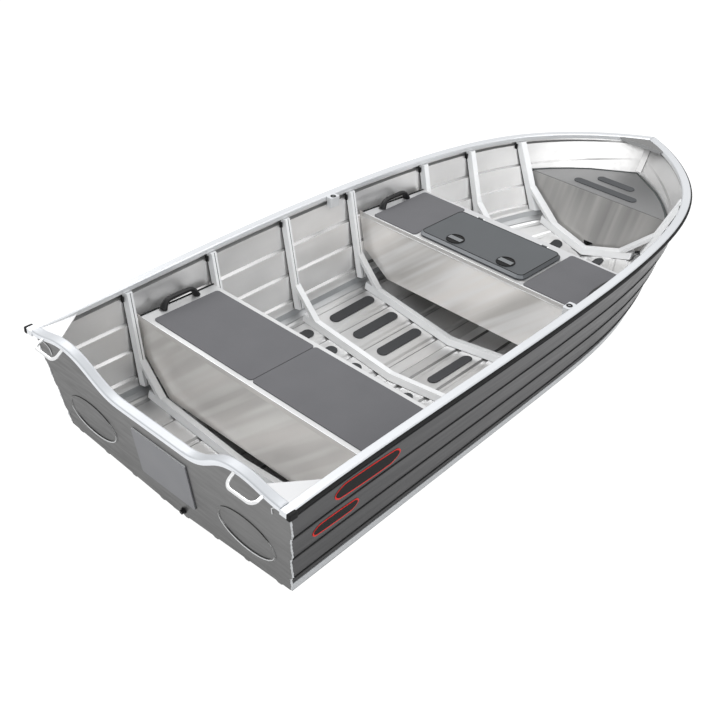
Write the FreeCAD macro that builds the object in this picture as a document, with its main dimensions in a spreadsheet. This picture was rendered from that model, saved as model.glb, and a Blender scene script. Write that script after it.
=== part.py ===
import FreeCAD, Part
import Sketcher
import functools
import math
import os

from FreeCAD import Vector

# Open aluminium rowing boat, 3.8 m long
# Millimetres. The hull is drawn from the transom's top edge: X runs forward
# to the bow, Y to port, Z up from the underside of the keel bar.

os.makedirs("parts", exist_ok=True)
doc = FreeCAD.newDocument("RowingBoat")
sheet = doc.addObject("Spreadsheet::Sheet", "Dimensions")
sub_parts = []


# Driving dimensions

DIMENSIONS = {
    # hull lines: sheer is the gunwale's outer top edge, chine the outer corner
    # of side and bottom, keel the lowest line of the bottom sheets
    "sheer_station_1": 0, "sheer_breadth_1": 822, "sheer_height_1": 592,
    "sheer_station_2": 700, "sheer_breadth_2": 818, "sheer_height_2": 626,
    "sheer_station_3": 1400, "sheer_breadth_3": 820, "sheer_height_3": 650,
    "sheer_station_4": 2000, "sheer_breadth_4": 803, "sheer_height_4": 661,
    "sheer_station_5": 2550, "sheer_breadth_5": 754, "sheer_height_5": 666,
    "sheer_station_6": 3000, "sheer_breadth_6": 657, "sheer_height_6": 668,
    "sheer_station_7": 3420, "sheer_breadth_7": 437, "sheer_height_7": 670,
    "sheer_station_8": 3800, "sheer_height_8": 671,
    "chine_breadth_1": 726, "chine_height_1": 64,
    "chine_station_2": 700, "chine_breadth_2": 702, "chine_height_2": 71,
    "chine_station_3": 1400, "chine_breadth_3": 681, "chine_height_3": 89,
    "chine_station_4": 2000, "chine_breadth_4": 665, "chine_height_4": 110,
    "chine_station_5": 2480, "chine_breadth_5": 626, "chine_height_5": 130,
    "chine_station_6": 2860, "chine_breadth_6": 536, "chine_height_6": 163,
    "chine_station_7": 3230, "chine_breadth_7": 350, "chine_height_7": 217,
    "chine_station_8": 3600, "chine_height_8": 335,
    "keel_height_1": 12,
    "keel_station_2": 700, "keel_height_2": 12,
    "keel_station_3": 1400, "keel_height_3": 12,
    "keel_station_4": 2000, "keel_height_4": 12,
    "keel_station_5": 2430, "keel_height_5": 17,
    "keel_station_6": 2740, "keel_height_6": 33,
    "keel_station_7": 3030, "keel_height_7": 64,
    "keel_station_8": 3320, "keel_height_8": 128,
    "transom_rake": 95,
    # plating
    "sheet_thickness": 2.5,
    "seam_gap": 1.5,
    "seat_gap": 0.3,
    "plank_jog": 13,
    "plank_rise": 12,
    "first_plank_share": 0.15,
    "plank_pitch_share": 0.262,
    "swage_width": 40,
    "swage_depth": 8,
    "first_swage": 80,
    "swage_margin": 6,
    "swage_fade_start": 2500,
    "swage_fade_end": 3250,
    # long extrusions
    "chine_band": 45,
    "chine_flange": 28,
    "chine_wall": 4,
    "inner_band": 34,
    "inner_flange": 40,
    "inner_wall": 3,
    "bow_rail_gap": 1.0,
    "keel_width": 60,
    "stem_width": 34,
    "keel_depth": 12,
    "keel_gap": 0.95,
    "stem_head_gap": 14,
    "forefoot_round": 18,
    "stem_round": 8,
    "gunwale_width": 44,
    "gunwale_depth": 26,
    "gunwale_bevel": 5,
    "gunwale_seat": 0.8,
    "side_inset": 16,
    "rub_depth": 22,
    "rub_thickness": 9,
    # transom
    "transom_thickness": 4,
    "dip_height": 503,
    "dip_half_width": 200,
    "hump_height": 636,
    "hump_half_width": 550,
    "shoulder_height": 597,
    "cap_thickness": 28,
    "cap_width": 46,
    "cap_round": 9,
    "cap_flat": 4.8,
    "cap_end_gap": 1.5,
    "motor_pad_width": 350,
    "motor_pad_height": 262,
    "motor_pad_low": 124,
    "motor_pad_thickness": 6,
    "oval_length": 340,
    "oval_height": 205,
    "oval_bead": 12,
    "oval_rise": 3,
    "oval_offset": 500,
    "oval_level": 228,
    "gusset_along": 180,
    "gusset_across": 140,
    "gusset_thickness": 5,
    "gusset_drop": 4,
    "gusset_gap": 0.8,
    "handle_rod": 15,
    "handle_inner": 540,
    "handle_outer": 690,
    "handle_reach": 46,
    "handle_drop": 30,
    "handle_bend": 30,
    "bung_radius": 15,
    "bung_length": 16,
    "bung_offset": 70,
    "bung_level": 46,
    # framing
    "rib_station_1": 480,
    "rib_station_2": 985,
    "rib_station_3": 1475,
    "rib_station_4": 1944,
    "rib_station_5": 2500,
    "rib_station_6": 2850,
    "rib_station_7": 3188,
    "rib_base": 50,
    "rib_crown": 30,
    "rib_depth": 30,
    "rib_head_gap": 3,
    "floor_depth": 36,
    "floor_end_inset": 62,
    "bracket_width": 34,
    "bracket_depth": 24,
    "bracket_up": 178,
    "bracket_in": 150,
    # thwarts
    "aft_thwart_start": 512,
    "aft_thwart_end": 952,
    "aft_thwart_top": 458,
    "mid_thwart_start": 2000,
    "mid_thwart_end": 2462,
    "mid_thwart_top": 504,
    "thwart_sheet": 3,
    "thwart_lip": 26,
    "panel_sheet": 2.5,
    "thwart_side_gap": 24,
    "aft_panel_foot": 76,
    "mid_panel_foot": 165,
    "panel_side_gap": 0.2,
    "mat_thickness": 4,
    "mat_edge": 26,
    "mat_round": 18,
    "aft_mat_reach": 672,
    "mat_seam": 4,
    "mat_hatch_gap": 5,
    "mid_mat_outer": 648,
    "mid_mat_start": 2008,
    "mid_mat_end": 2440,
    # hatch in the middle thwart
    "hatch_start": 2010,
    "hatch_length": 376,
    "hatch_width": 690,
    "hatch_round": 48,
    "frame_flange": 4,
    "frame_rim": 34,
    "coaming_drop": 22,
    "lid_gap": 5,
    "lid_thickness": 20,
    "lid_margin": 6,
    "lid_bevel": 14,
    "lid_wall": 4,
    "hinge_offset": 13,
    "hinge_level": 15,
    "hinge_pin": 5,
    "hinge_play": 0.1,
    "hinge_round": 6,
    "hinge_spread": 420,
    "hinge_knuckle": 34,
    "hinge_ear": 6,
    "hinge_side_gap": 0.5,
    "hinge_leaf": 22,
    "latch_radius": 50,
    "latch_height": 5,
    "latch_inset": 72,
    "latch_spread": 326,
    "latch_shift": 22,
    "latch_rim": 6,
    "latch_floor": 1,
    "latch_grip": 32,
    "bin_depth": 235,
    "bin_wall": 2,
    # carrying handles on the thwarts
    "grab_length": 228,
    "grab_height": 58,
    "grab_width": 28,
    "grab_foot": 36,
    "grab_slope": 22,
    "grab_bar": 13,
    "grab_round": 4,
    "grab_flare": 44,
    "grab_sole": 12,
    "aft_grab_start": 613,
    "aft_grab_inset": 26,
    "mid_grab_start": 2094,
    "mid_grab_inset": 26,
    # bow
    "bow_box_start": 3222,
    "bow_box_top": 475,
    "bow_box_gap": 10,
    "limber_half_width": 30,
    "limber_height": 42,
    "bow_mat_width": 58,
    "bow_mat_long": 416,
    "bow_mat_short": 244,
    "bow_mat_first": 3308,
    "bow_mat_pitch": 118,
    "breasthook_length": 96,
    "breasthook_thickness": 6,
    "breasthook_lip": 14,
    "backing_width": 38,
    "backing_thickness": 3,
    "bow_eye_height": 400,
    "bow_eye_rod": 10,
    "bow_eye_radius": 18,
    # rowlocks
    "rowlock_station": 1795,
    "rowlock_block": 36,
    "rowlock_long": 64,
    "rowlock_drop": 54,
    "rowlock_bore": 13,
    # floor mats
    "pad_length": 324,
    "pad_width": 62,
    "pad_thickness": 3,
    "pad_gap": 0.9,
    "pad_offset": 173,
    "aft_pad_start": 1104,
    "mid_pad_start": 1570,
    "bow_pad_start": 2976,
    "bow_pad_length": 174,
    "bow_pad_offset": 145,
}

for row, (alias, value) in enumerate(DIMENSIONS.items(), start=1):
    sheet.set(f"A{row}", alias)
    sheet.set(f"B{row}", str(value))
    sheet.setAlias(f"B{row}", alias)
doc.recompute()


def size(alias):
    return float(sheet.get(alias))


# Hull lines as points, from the transom to the stem

STATIONS = 8
seam = size("seam_gap")
sheet_t = size("sheet_thickness")
seat = size("seat_gap")


def transom_x(z):
    """Fore and aft place of the raked transom's outer face at a height."""
    top = size("sheer_height_1")
    run = top - size("keel_height_1")
    return size("transom_rake") * (top - z) / run


def line_points(name):
    """Points of the sheer, the chine or the keel, port side."""
    points = []
    for number in range(1, STATIONS + 1):
        z = size(f"{name}_height_{number}")
        if number == 1:
            x = transom_x(z)
        else:
            x = size(f"{name}_station_{number}")
        if name == "keel" or number == STATIONS:
            y = seam
        else:
            y = size(f"{name}_breadth_{number}")
        points.append(Vector(x, y, z))
    return points


sheer = line_points("sheer")
chine = line_points("chine")
keel = line_points("keel")


def run_direction(points, number):
    """Direction of a hull line at one of its points."""
    before = points[max(number - 1, 0)]
    after = points[min(number + 1, STATIONS - 1)]
    return (after - before).normalize()


UP = Vector(0, 0, 1)


def outboard(points, number):
    """Level direction square to a hull line, pointing away from the boat."""
    return UP.cross(run_direction(points, number)).normalize()


def sheet_top(number):
    """Top edge of the side sheet, inside the gunwale."""
    drop = Vector(0, 0, -size("gunwale_depth") - size("gunwale_seat"))
    inset = outboard(sheer, number) * -size("side_inset")
    return sheer[number] + inset + drop


side_head = [sheet_top(number) for number in range(STATIONS)]

# Each end section is slid along the hull's run until it lies in a plane:
# the transom's inner face aft, the centre plane at the stem

rake_normal = Vector(transom_x(0) - transom_x(1), 0, 0)
rake_normal = Vector(1, 0, rake_normal.x).normalize()


def slide(point, run, plane_point, plane_normal):
    """Move a point along the run of the hull on to a plane."""
    reach = (plane_point - point).dot(plane_normal) / run.dot(plane_normal)
    return point + run * reach


def trimmed(point, number, run, aft_offset=None):
    """Point of a section, trimmed when it belongs to an end section."""
    if number == 0:
        offset = size("transom_thickness") + seat if aft_offset is None else aft_offset
        plane_point = Vector(transom_x(0), 0, 0) + rake_normal * offset
        return slide(point, run, plane_point, rake_normal)
    if number == STATIONS - 1:
        return slide(point, run, Vector(0, seam, 0), Vector(0, 1, 0))
    return point


def side_axes(number):
    """Rise of the side and its outward normal at a station."""
    rise = side_head[number] - chine[number]
    run = run_direction(chine, number) + run_direction(side_head, number)
    normal = rise.cross(run).normalize()
    if normal.y < 0:
        normal = normal * -1
    return rise, run.normalize(), normal


def bottom_axes(number):
    """Spread of the bottom from keel to chine and its outward normal."""
    spread = chine[number] - keel[number]
    run = run_direction(chine, number) + run_direction(keel, number)
    normal = spread.cross(run).normalize()
    if normal.z > 0:
        normal = normal * -1
    return spread, run.normalize(), normal


def chine_mitre(number):
    """Shift, per millimetre of offset, along the mitre of side and bottom."""
    side = side_axes(number)[2]
    bottom = bottom_axes(number)[2]
    return (side + bottom) * (1 / (1 + side.dot(bottom)))


def stem_shift(alias, chord, share):
    """Shift that rounds the stem's profile between two corners of it."""
    forward = Vector(chord.z, 0, -chord.x).normalize()
    return forward * (4 * size(alias) * share * (1 - share))


def loft(sections):
    """Solid through closed polygons, one per station."""
    wires = [Part.makePolygon(points + points[:1]) for points in sections]
    solid = Part.makeLoft(wires, True, False, False, 3)
    if solid.Volume < 0:
        solid.reverse()
    return solid


def mirrored(shape):
    """The starboard twin of a port piece."""
    return shape.mirror(Vector(0, 0, 0), Vector(0, 1, 0))


# Side sheets, pressed in lapped planks

PLANK_STEPS = 4


def plank_outline(number):
    """Shares up the side and outward offsets of the pressed planks."""
    rise, run, normal = side_axes(number)
    half = size("plank_jog") / 2
    if number == STATIONS - 1:
        half = 0
    if number == STATIONS - 2:
        half = half * 0.6
    ledge = size("plank_rise") / rise.Length
    outline = [(0, 0), ((size("chine_band") + size("chine_wall")) / rise.Length, 0)]
    for step in range(PLANK_STEPS):
        share = size("first_plank_share") + step * size("plank_pitch_share")
        outline.append((share, -half))
        outline.append((share + ledge, half))
    outline.append((1, 0))
    return outline


def side_section(number):
    rise, run, normal = side_axes(number)
    mitre = chine_mitre(number)
    outer = []
    inner = []
    for share, offset in plank_outline(number):
        point = chine[number] + rise * share + normal * offset
        if number == STATIONS - 1:
            point = point + stem_shift("stem_round", rise, share)
        outer.append(point)
        inner.append(point - normal * sheet_t)
    lift = rise * (2 * seat / rise.Length)
    outer[0] = chine[number] + lift
    inner[0] = chine[number] - mitre * sheet_t + lift
    points = outer + inner[::-1]
    return [trimmed(point, number, run) for point in points]


# Bottom sheets, stiffened by pressed swages

SWAGES = 4


def swage_depth_at(x):
    start = size("swage_fade_start")
    end = size("swage_fade_end")
    fade = min(1, max(0.05, (end - x) / (end - start)))
    return size("swage_depth") * fade


def bottom_outline(number):
    spread, run, normal = bottom_axes(number)
    depth = swage_depth_at(keel[number].x)
    half = size("swage_width") / 2 / spread.Length
    crown = half * 0.45
    first = size("first_swage") / spread.Length
    last = 1 - half - (size("inner_flange") + size("swage_margin")) / spread.Length
    outline = [(0, 0)]
    for swage in range(SWAGES):
        centre = first + (last - first) * swage / (SWAGES - 1)
        outline.append((centre - half, 0))
        outline.append((centre - crown, depth))
        outline.append((centre + crown, depth))
        outline.append((centre + half, 0))
    outline.append((1, 0))
    return outline


def bottom_section(number):
    spread, run, normal = bottom_axes(number)
    mitre = chine_mitre(number)
    outer = []
    inner = []
    for share, depth in bottom_outline(number):
        point = keel[number] + spread * share + normal * depth
        if number == STATIONS - 1:
            point = point + stem_shift("forefoot_round", spread, share)
        outer.append(point)
        inner.append(point - normal * sheet_t)
    inner[-1] = chine[number] - mitre * sheet_t
    points = outer + inner[::-1]
    return [trimmed(point, number, run) for point in points]


# Chine extrusions: an angle outside the corner and one inside it

def angle_section(number, start, grow, band, flange, wall):
    """Six points of an angle bar, offset by start and start + grow * wall."""
    rise, run, side = side_axes(number)
    spread, bottom_run, bottom = bottom_axes(number)
    mitre = chine_mitre(number)
    up = rise * (1 / rise.Length)
    inboard = spread * (-1 / spread.Length)
    corner = chine[number]
    near = start
    if number >= STATIONS - 2:
        near = start + grow * size("bow_rail_gap")
    far = near + grow * wall
    rounding = [Vector(), Vector()]
    if number == STATIONS - 1:
        rounding[0] = stem_shift("stem_round", rise, band / rise.Length)
        rounding[1] = stem_shift("forefoot_round", spread, flange / spread.Length)
    points = [
        corner + mitre * near,
        corner + side * near + up * band + rounding[0],
        corner + side * far + up * band + rounding[0],
        corner + mitre * far,
        corner + bottom * far + inboard * flange + rounding[1],
        corner + bottom * near + inboard * flange + rounding[1],
    ]
    return [trimmed(point, number, run) for point in points]


def outer_chine_section(number):
    return angle_section(number, seat, 1, size("chine_band"),
                         size("chine_flange"), size("chine_wall"))


def inner_chine_section(number):
    return angle_section(number, -sheet_t - seat, -1, size("inner_band"),
                         size("inner_flange"), size("inner_wall"))


# Gunwale extrusion and the rubber strip outside it

cap_half = size("cap_width") / 2
cap_plane = Vector(transom_x(size("shoulder_height")) - cap_half, 0, 0)


def edge_section(number, outline):
    """Points given as (outboard, up) from the sheer line."""
    out = outboard(sheer, number)
    run = run_direction(sheer, number)
    points = [sheer[number] + out * a + UP * b for a, b in outline]
    if number == 0:
        return [slide(point, run, cap_plane, Vector(1, 0, 0)) for point in points]
    return [trimmed(point, number, run) for point in points]


def gunwale_outline():
    width = size("gunwale_width")
    depth = size("gunwale_depth")
    bevel = size("gunwale_bevel")
    return [
        (0, -depth), (0, -bevel), (-bevel, 0),
        (bevel - width, 0), (-width, -bevel), (-width, -depth),
    ]


def rub_outline():
    low = -size("gunwale_depth")
    high = low + size("rub_depth")
    out = size("rub_thickness")
    third = size("rub_depth") / 3
    return [(seat, low), (seat, high), (out, high - third), (out, low + third)]


def hull_loft(section):
    return loft([section(number) for number in range(STATIONS)])


# Where the finished hull stands: its middle in length is the origin

aft_reach = cap_plane.x - size("handle_reach") - size("handle_rod") / 2
fore_reach = max(point.x for point in edge_section(STATIONS - 1, rub_outline()))
middle = (aft_reach + fore_reach) / 2
PLACE = FreeCAD.Placement(Vector(-middle, 0, 0), FreeCAD.Rotation())


def add_shape(name, shape):
    """Sub-part whose shape is worked out from the hull's lines."""
    feature = doc.addObject("Part::Feature", name)
    feature.Label = name
    feature.Shape = shape
    feature.Placement = PLACE
    sub_parts.append(feature)
    return feature


def origin_plane(body, role):
    """One of a body's own origin planes."""
    for feature in body.Origin.OriginFeatures:
        if feature.Role == role:
            return feature


def add_body(name, corner, rotation=FreeCAD.Rotation()):
    """Sub-part built from sketches, standing at a corner in hull lengths."""
    body = doc.addObject("PartDesign::Body", name)
    body.Label = name
    body.Placement = PLACE.multiply(FreeCAD.Placement(corner, rotation))
    sub_parts.append(body)
    return body


def add_sketch(body, role="XY_Plane"):
    sketch = body.newObject("Sketcher::SketchObject", f"{body.Name}_outline")
    sketch.AttachmentSupport = (origin_plane(body, role), "")
    sketch.MapMode = "FlatFace"
    return sketch


def bind(sketch, kind, line, formula, axis):
    """Tie a corner's distance from the origin to the sheet."""
    if formula == "0":
        sketch.addConstraint(Sketcher.Constraint("PointOnObject", line, 1, axis))
        return
    number = sketch.addConstraint(Sketcher.Constraint(kind, -1, 1, line, 1, 10.0 + line))
    sketch.setExpression(f"Constraints[{number}]", formula)


def draw_polygon(sketch, corners):
    """Closed outline with each corner's place given by two formulas."""
    count = len(corners)
    first = sketch.GeometryCount
    for number in range(count):
        turns = [2 * math.pi * (number + step) / count for step in (0, 1)]
        ends = [Vector(50 * math.cos(turn), 50 * math.sin(turn), 0) for turn in turns]
        sketch.addGeometry(Part.LineSegment(*ends), False)
    for number in range(count):
        line = first + number
        after = first + (number + 1) % count
        sketch.addConstraint(Sketcher.Constraint("Coincident", line, 2, after, 1))
    for number, (x_formula, y_formula) in enumerate(corners):
        bind(sketch, "DistanceX", first + number, x_formula, -2)
        bind(sketch, "DistanceY", first + number, y_formula, -1)


def draw_circle(sketch, x_formula, y_formula, radius_formula):
    circle = sketch.addGeometry(Part.Circle(Vector(10, 10, 0), Vector(0, 0, 1), 5), False)
    for kind, formula, axis in (("DistanceX", x_formula, -2), ("DistanceY", y_formula, -1)):
        if formula == "0":
            sketch.addConstraint(Sketcher.Constraint("PointOnObject", circle, 3, axis))
        else:
            rule = Sketcher.Constraint(kind, -1, 1, circle, 3, 10.0)
            number = sketch.addConstraint(rule)
            sketch.setExpression(f"Constraints[{number}]", formula)
    number = sketch.addConstraint(Sketcher.Constraint("Radius", circle, 5.0))
    sketch.setExpression(f"Constraints[{number}]", radius_formula)


def rectangle_corners(length, width):
    """Corners of a rectangle about the origin, as formulas."""
    x = f"({length}) / 2"
    y = f"({width}) / 2"
    return [(f"-{x}", f"-{y}"), (x, f"-{y}"), (x, y), (f"-{x}", y)]


def add_pad(body, sketch, formula, down=False):
    pad = body.newObject("PartDesign::Pad", f"{body.Name}_pad")
    pad.Profile = sketch
    pad.setExpression("Length", formula)
    pad.Reversed = down
    doc.recompute()
    return pad


def add_pocket(body, sketch, formula, upward=False):
    pocket = body.newObject("PartDesign::Pocket", f"{body.Name}_pocket")
    pocket.Profile = sketch
    pocket.setExpression("Length", formula)
    pocket.Reversed = upward
    before = body.Shape.Volume
    doc.recompute()
    if body.Shape.Volume > before - 1:
        raise ValueError(f"{body.Label}: a pocket cuts nothing")
    return pocket


def round_edges(body, feature, formula, wanted, kind="Fillet"):
    """Fillet or chamfer the edges of a feature that a test picks."""
    names = [f"Edge{number}" for number, edge in enumerate(feature.Shape.Edges, start=1)
             if wanted(edge)]
    rounding = body.newObject(f"PartDesign::{kind}", f"{body.Name}_{kind.lower()}")
    rounding.Base = (feature, names)
    rounding.setExpression("Radius" if kind == "Fillet" else "Size", formula)
    doc.recompute()
    return rounding


def upright(edge):
    box = edge.BoundBox
    return box.ZLength > 1 and box.XLength < 0.01 and box.YLength < 0.01


def rounded_plate(name, corner, length, width, thickness, radius, rotation=FreeCAD.Rotation()):
    """Flat plate with rounded corners, its middle at the given corner."""
    body = add_body(name, corner, rotation)
    sketch = add_sketch(body)
    draw_polygon(sketch, rectangle_corners(length, width))
    pad = add_pad(body, sketch, thickness)
    round_edges(body, pad, radius, upright)
    return body


def add_pair(name, shape):
    add_shape(f"{name}_port", shape)
    add_shape(f"{name}_starboard", mirrored(shape))


sheets = {
    "side": hull_loft(side_section),
    "bottom": hull_loft(bottom_section),
    "gunwale": hull_loft(lambda number: edge_section(number, gunwale_outline())),
}
add_pair("side_sheet", sheets["side"])
add_pair("bottom_sheet", sheets["bottom"])
add_pair("gunwale", sheets["gunwale"])
add_pair("rub_strip", hull_loft(lambda number: edge_section(number, rub_outline())))


def chine_rail():
    """The two angles, cut off beside the stem bar."""
    reach = size("sheer_station_8")
    half = size("stem_width") / 2 + seat
    centre = Part.makeBox(reach, 2 * half, reach, Vector(0, -half, 0))
    angles = [hull_loft(outer_chine_section), hull_loft(inner_chine_section)]
    return Part.makeCompound([angle.cut(centre) for angle in angles])


add_pair("chine_rail", chine_rail())


# Where frames and seats meet the plating

def long_edges(solid):
    """Edges of a sheet that run from the transom to the stem."""
    span = size("sheer_station_8") / 2
    return [edge for edge in solid.Edges if edge.BoundBox.XLength > span]


hull_edges = {name: long_edges(solid) for name, solid in sheets.items()}


def edge_point(edge, target, axis=0):
    """Point of an edge at a station, or at a breadth, by halving its range."""
    first, last = edge.ParameterRange
    if edge.valueAt(first)[axis] > edge.valueAt(last)[axis]:
        first, last = last, first
    for _ in range(30):
        half = (first + last) / 2
        if edge.valueAt(half)[axis] < target:
            first = half
        else:
            last = half
    return edge.valueAt(first)


@functools.cache
def corners_at(name, x):
    """Corner points of a sheet's section at a station, as (y, z)."""
    points = [edge_point(edge, x) for edge in hull_edges[name]]
    return [(point.y, point.z) for point in points if abs(point.x - x) < 1]


def side_line(x, floor=0):
    """Straight line just inside the pressed side: y = start + slope * z."""
    corners = sorted(corners_at("side", x), key=lambda corner: corner[1])
    low = corners[0]
    high = corners[-1]
    slope = (high[0] - low[0]) / (high[1] - low[1])
    start = min(y - slope * z for y, z in corners if z >= floor)
    return start - seat, slope


def side_y(x, z):
    start, slope = side_line(x)
    return start + slope * z


def bottom_line(x):
    """Straight line just above the pressed bottom: z = start + slope * y."""
    corners = sorted(corners_at("bottom", x))
    low = corners[0]
    high = corners[-1]
    slope = (high[1] - low[1]) / (high[0] - low[0])
    start = max(z - slope * y for y, z in corners)
    return start + seat, slope


def bottom_z(x, y):
    start, slope = bottom_line(x)
    return start + slope * abs(y)


def chine_at(x):
    """Chine corner at a station, as (y, z)."""
    return max(corners_at("bottom", x))


def rib_head_z(x):
    return max(z for y, z in corners_at("side", x)) - size("rib_head_gap")


def bar_between(first, second):
    """Solid between two polygons with the same number of corners."""
    wires = [Part.makePolygon(points + points[:1]) for points in (first, second)]
    solid = Part.makeLoft(wires, True, True)
    if solid.Volume < 0:
        solid.reverse()
    return solid


# Keel bar, carried on up the stem

KEEL_STEPS = 7
STEM_STEPS = 5
stem_head = trimmed(side_head[-1], STATIONS - 1, side_axes(STATIONS - 1)[1])


def stem_profile(share):
    """Centre line of the stem: 0 at the keel's end, 1 at the chine, 2 at the head."""
    if share <= 1:
        start, chord, alias = keel[-1], chine[-1] - keel[-1], "forefoot_round"
    else:
        start, chord, alias = chine[-1], stem_head - chine[-1], "stem_round"
        share = share - 1
    point = start + chord * share + stem_shift(alias, chord, share)
    return Vector(point.x, 0, point.z)


def crossings(solid, start, end):
    """Points where a straight line enters or leaves a sheet."""
    line = Part.LineSegment(start, end)
    points = []
    for face in solid.Faces:
        for hit in line.intersectCS(face.Surface)[0]:
            points.append(Vector(hit.X, hit.Y, hit.Z))
    return points


def plate_rise(point, outward, breadth):
    """How far the plates stand back from the centre line, per unit of breadth."""
    span = outward * size("keel_width")
    start = point + Vector(0, breadth, 0) + span
    end = start - span * 2
    hits = crossings(sheets["side"], start, end) + crossings(sheets["bottom"], start, end)
    depth = min((hit - start).Length for hit in hits) - span.Length
    return depth / breadth


def keel_line():
    """Points along the centre line: the ends of the straight lengths, then up to the stem head."""
    edges = hull_edges["bottom"]
    middle_x = size("keel_station_3")
    lowest = min(edges, key=lambda edge: edge_point(edge, middle_x).Length)
    line = [keel[0]]
    for number in (3, 4):
        line.append(Vector(size(f"keel_station_{number}"), 0, keel[0].z))
    start = line[-1].x
    reach = keel[-1].x - start
    for step in range(1, KEEL_STEPS):
        line.append(edge_point(lowest, start + reach * step / KEEL_STEPS))
    head = 1 - size("stem_head_gap") / (stem_head - chine[-1]).Length
    for step in range(2 * STEM_STEPS + 1):
        line.append(stem_profile(min(step / STEM_STEPS, 1 + head)))
    return [Vector(point.x, 0, point.z) for point in line]


def keel_section(line, number):
    """Six points of the bar, its inner face following the plates' V."""
    last = len(line) - 1
    point = line[number]
    if point.z == line[0].z:
        run = Vector(1, 0, 0)
    else:
        run = (line[min(number + 1, last)] - line[number - 1]).normalize()
    outward = Vector(run.z, 0, -run.x)
    start = size("keel_station_5")
    narrowing = min(1, max(0, (point.x - start) / (keel[-1].x - start)))
    width = size("keel_width") * (1 - narrowing) + size("stem_width") * narrowing
    side = Vector(0, width / 2, 0)
    if number == 0:
        slope = bottom_line(size("rib_station_1"))[1]
    else:
        slope = min(plate_rise(point, outward, width / part) for part in (2, 3, 7))
    back = outward * (-slope * width / 2)
    base = point + outward * size("keel_gap")
    skin = point + outward * size("chine_wall")
    face = point + outward * size("keel_depth")
    section = [
        base,
        base + side + back,
        skin + side + back,
        face + side * 0.5,
        face - side * 0.5,
        skin - side + back,
        base - side + back,
    ]
    if number == 0:
        section = [trimmed(corner, 0, run) for corner in section]
    return section


def faired(sections):
    """Solid with one smooth face along each run of corners."""
    marks = [0.0]
    for first, second in zip(sections, sections[1:]):
        marks.append(marks[-1] + (second[0] - first[0]).Length)
    tracks = []
    for corner in range(len(sections[0])):
        curve = Part.BSplineCurve()
        curve.interpolate(Points=[ring[corner] for ring in sections], Parameters=marks)
        tracks.append(curve.toShape())
    faces = []
    for number, track in enumerate(tracks):
        faces.append(Part.makeRuledSurface(tracks[number - 1], track))
    for ring in (sections[0], sections[-1]):
        faces.append(Part.Face(Part.makePolygon(ring + ring[:1])))
    shell = Part.makeShell(faces)
    shell.sewShape()
    solid = Part.Solid(shell)
    if solid.Volume < 0:
        solid.reverse()
    return solid


keel_points = keel_line()
keel_rings = [keel_section(keel_points, number) for number in range(len(keel_points))]
keel_bar = Part.makeCompound([
    bar_between(keel_rings[0], keel_rings[1]),
    bar_between(keel_rings[1], keel_rings[2]),
    faired(keel_rings[2:]),
])
add_shape("keel_bar", keel_bar)


# Pressed side ribs, floor frames and the brackets that join them

RIBS = 7
rib_stations = [size(f"rib_station_{number}") for number in range(1, RIBS + 1)]


def rib_foot_z(x):
    return chine_at(x)[1] + size("inner_band") + size("inner_wall") * 2


def rib_ring(x, z_at):
    """Four corners of the rib's hat section at a height."""
    base = size("rib_base") / 2
    crown = size("rib_crown") / 2
    depth = size("rib_depth")
    ring = []
    z = z_at(x)
    for shift, inboard in ((-base, 0), (-crown, depth), (crown, depth), (base, 0)):
        ring.append(Vector(x + shift, side_y(x + shift, z) - inboard, z))
    return ring


def side_rib(x):
    foot = rib_ring(x, rib_foot_z)
    head = rib_ring(x, rib_head_z)
    return bar_between(foot, head)


def frame_ring(x, y_at):
    """Four corners of the floor frame's hat section at a breadth."""
    base = size("rib_base") / 2
    crown = size("rib_crown") / 2
    depth = size("floor_depth")
    ring = []
    y = y_at(x)
    for shift, height in ((-base, 0), (-crown, depth), (crown, depth), (base, 0)):
        ring.append(Vector(x + shift, y, bottom_z(x + shift, y) + height))
    return ring


def floor_frame(x):
    inner = frame_ring(x, lambda station: 0)
    outer = frame_ring(x, lambda station: chine_at(station)[0] - size("floor_end_inset"))
    half = bar_between(inner, outer)
    return half.fuse(mirrored(half)).removeSplitter()


def bracket_ring(x, shift):
    """Bracket outline at one side of a rib: two corners on the rib's crown
    face and two on the floor frame's."""
    station = x + shift
    depth = size("bracket_depth")
    chine_y, chine_z = chine_at(station)
    rib_face = size("rib_depth") + seat
    frame_face = size("floor_depth") + seat
    high = chine_z + size("bracket_up")
    low = high - depth * 1.5
    near = chine_y - size("bracket_in")
    far = near + depth * 1.5
    return [
        Vector(station, side_y(station, high) - rib_face, high),
        Vector(station, near, bottom_z(station, near) + frame_face),
        Vector(station, far, bottom_z(station, far) + frame_face),
        Vector(station, side_y(station, low) - rib_face, low),
    ]


def chine_bracket(x):
    half = size("bracket_width") / 2
    return bar_between(bracket_ring(x, -half), bracket_ring(x, half))


ribs = [side_rib(x) for x in rib_stations]
brackets = [chine_bracket(x) for x in rib_stations]
add_pair("side_ribs", Part.makeCompound(ribs))
add_pair("chine_brackets", Part.makeCompound(brackets))
add_shape("floor_frames", Part.makeCompound([floor_frame(x) for x in rib_stations]))


# Transom plate with its pressed ovals, and the rounded cap along its top

def on_transom(y, z):
    return Vector(transom_x(z), y, z)


def curve(corners):
    """Smooth edge through the pull of its corner points."""
    bezier = Part.BezierCurve()
    bezier.setPoles([on_transom(y, z) for y, z in corners])
    return bezier.toShape()


def cap_end():
    """Breadth at which the cap stops, just inside the gunwale."""
    return sheer[0].y - size("gunwale_width") - size("cap_end_gap")


CAP_EASE = 0.46
SHOULDER_EASE = 0.4


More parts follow.
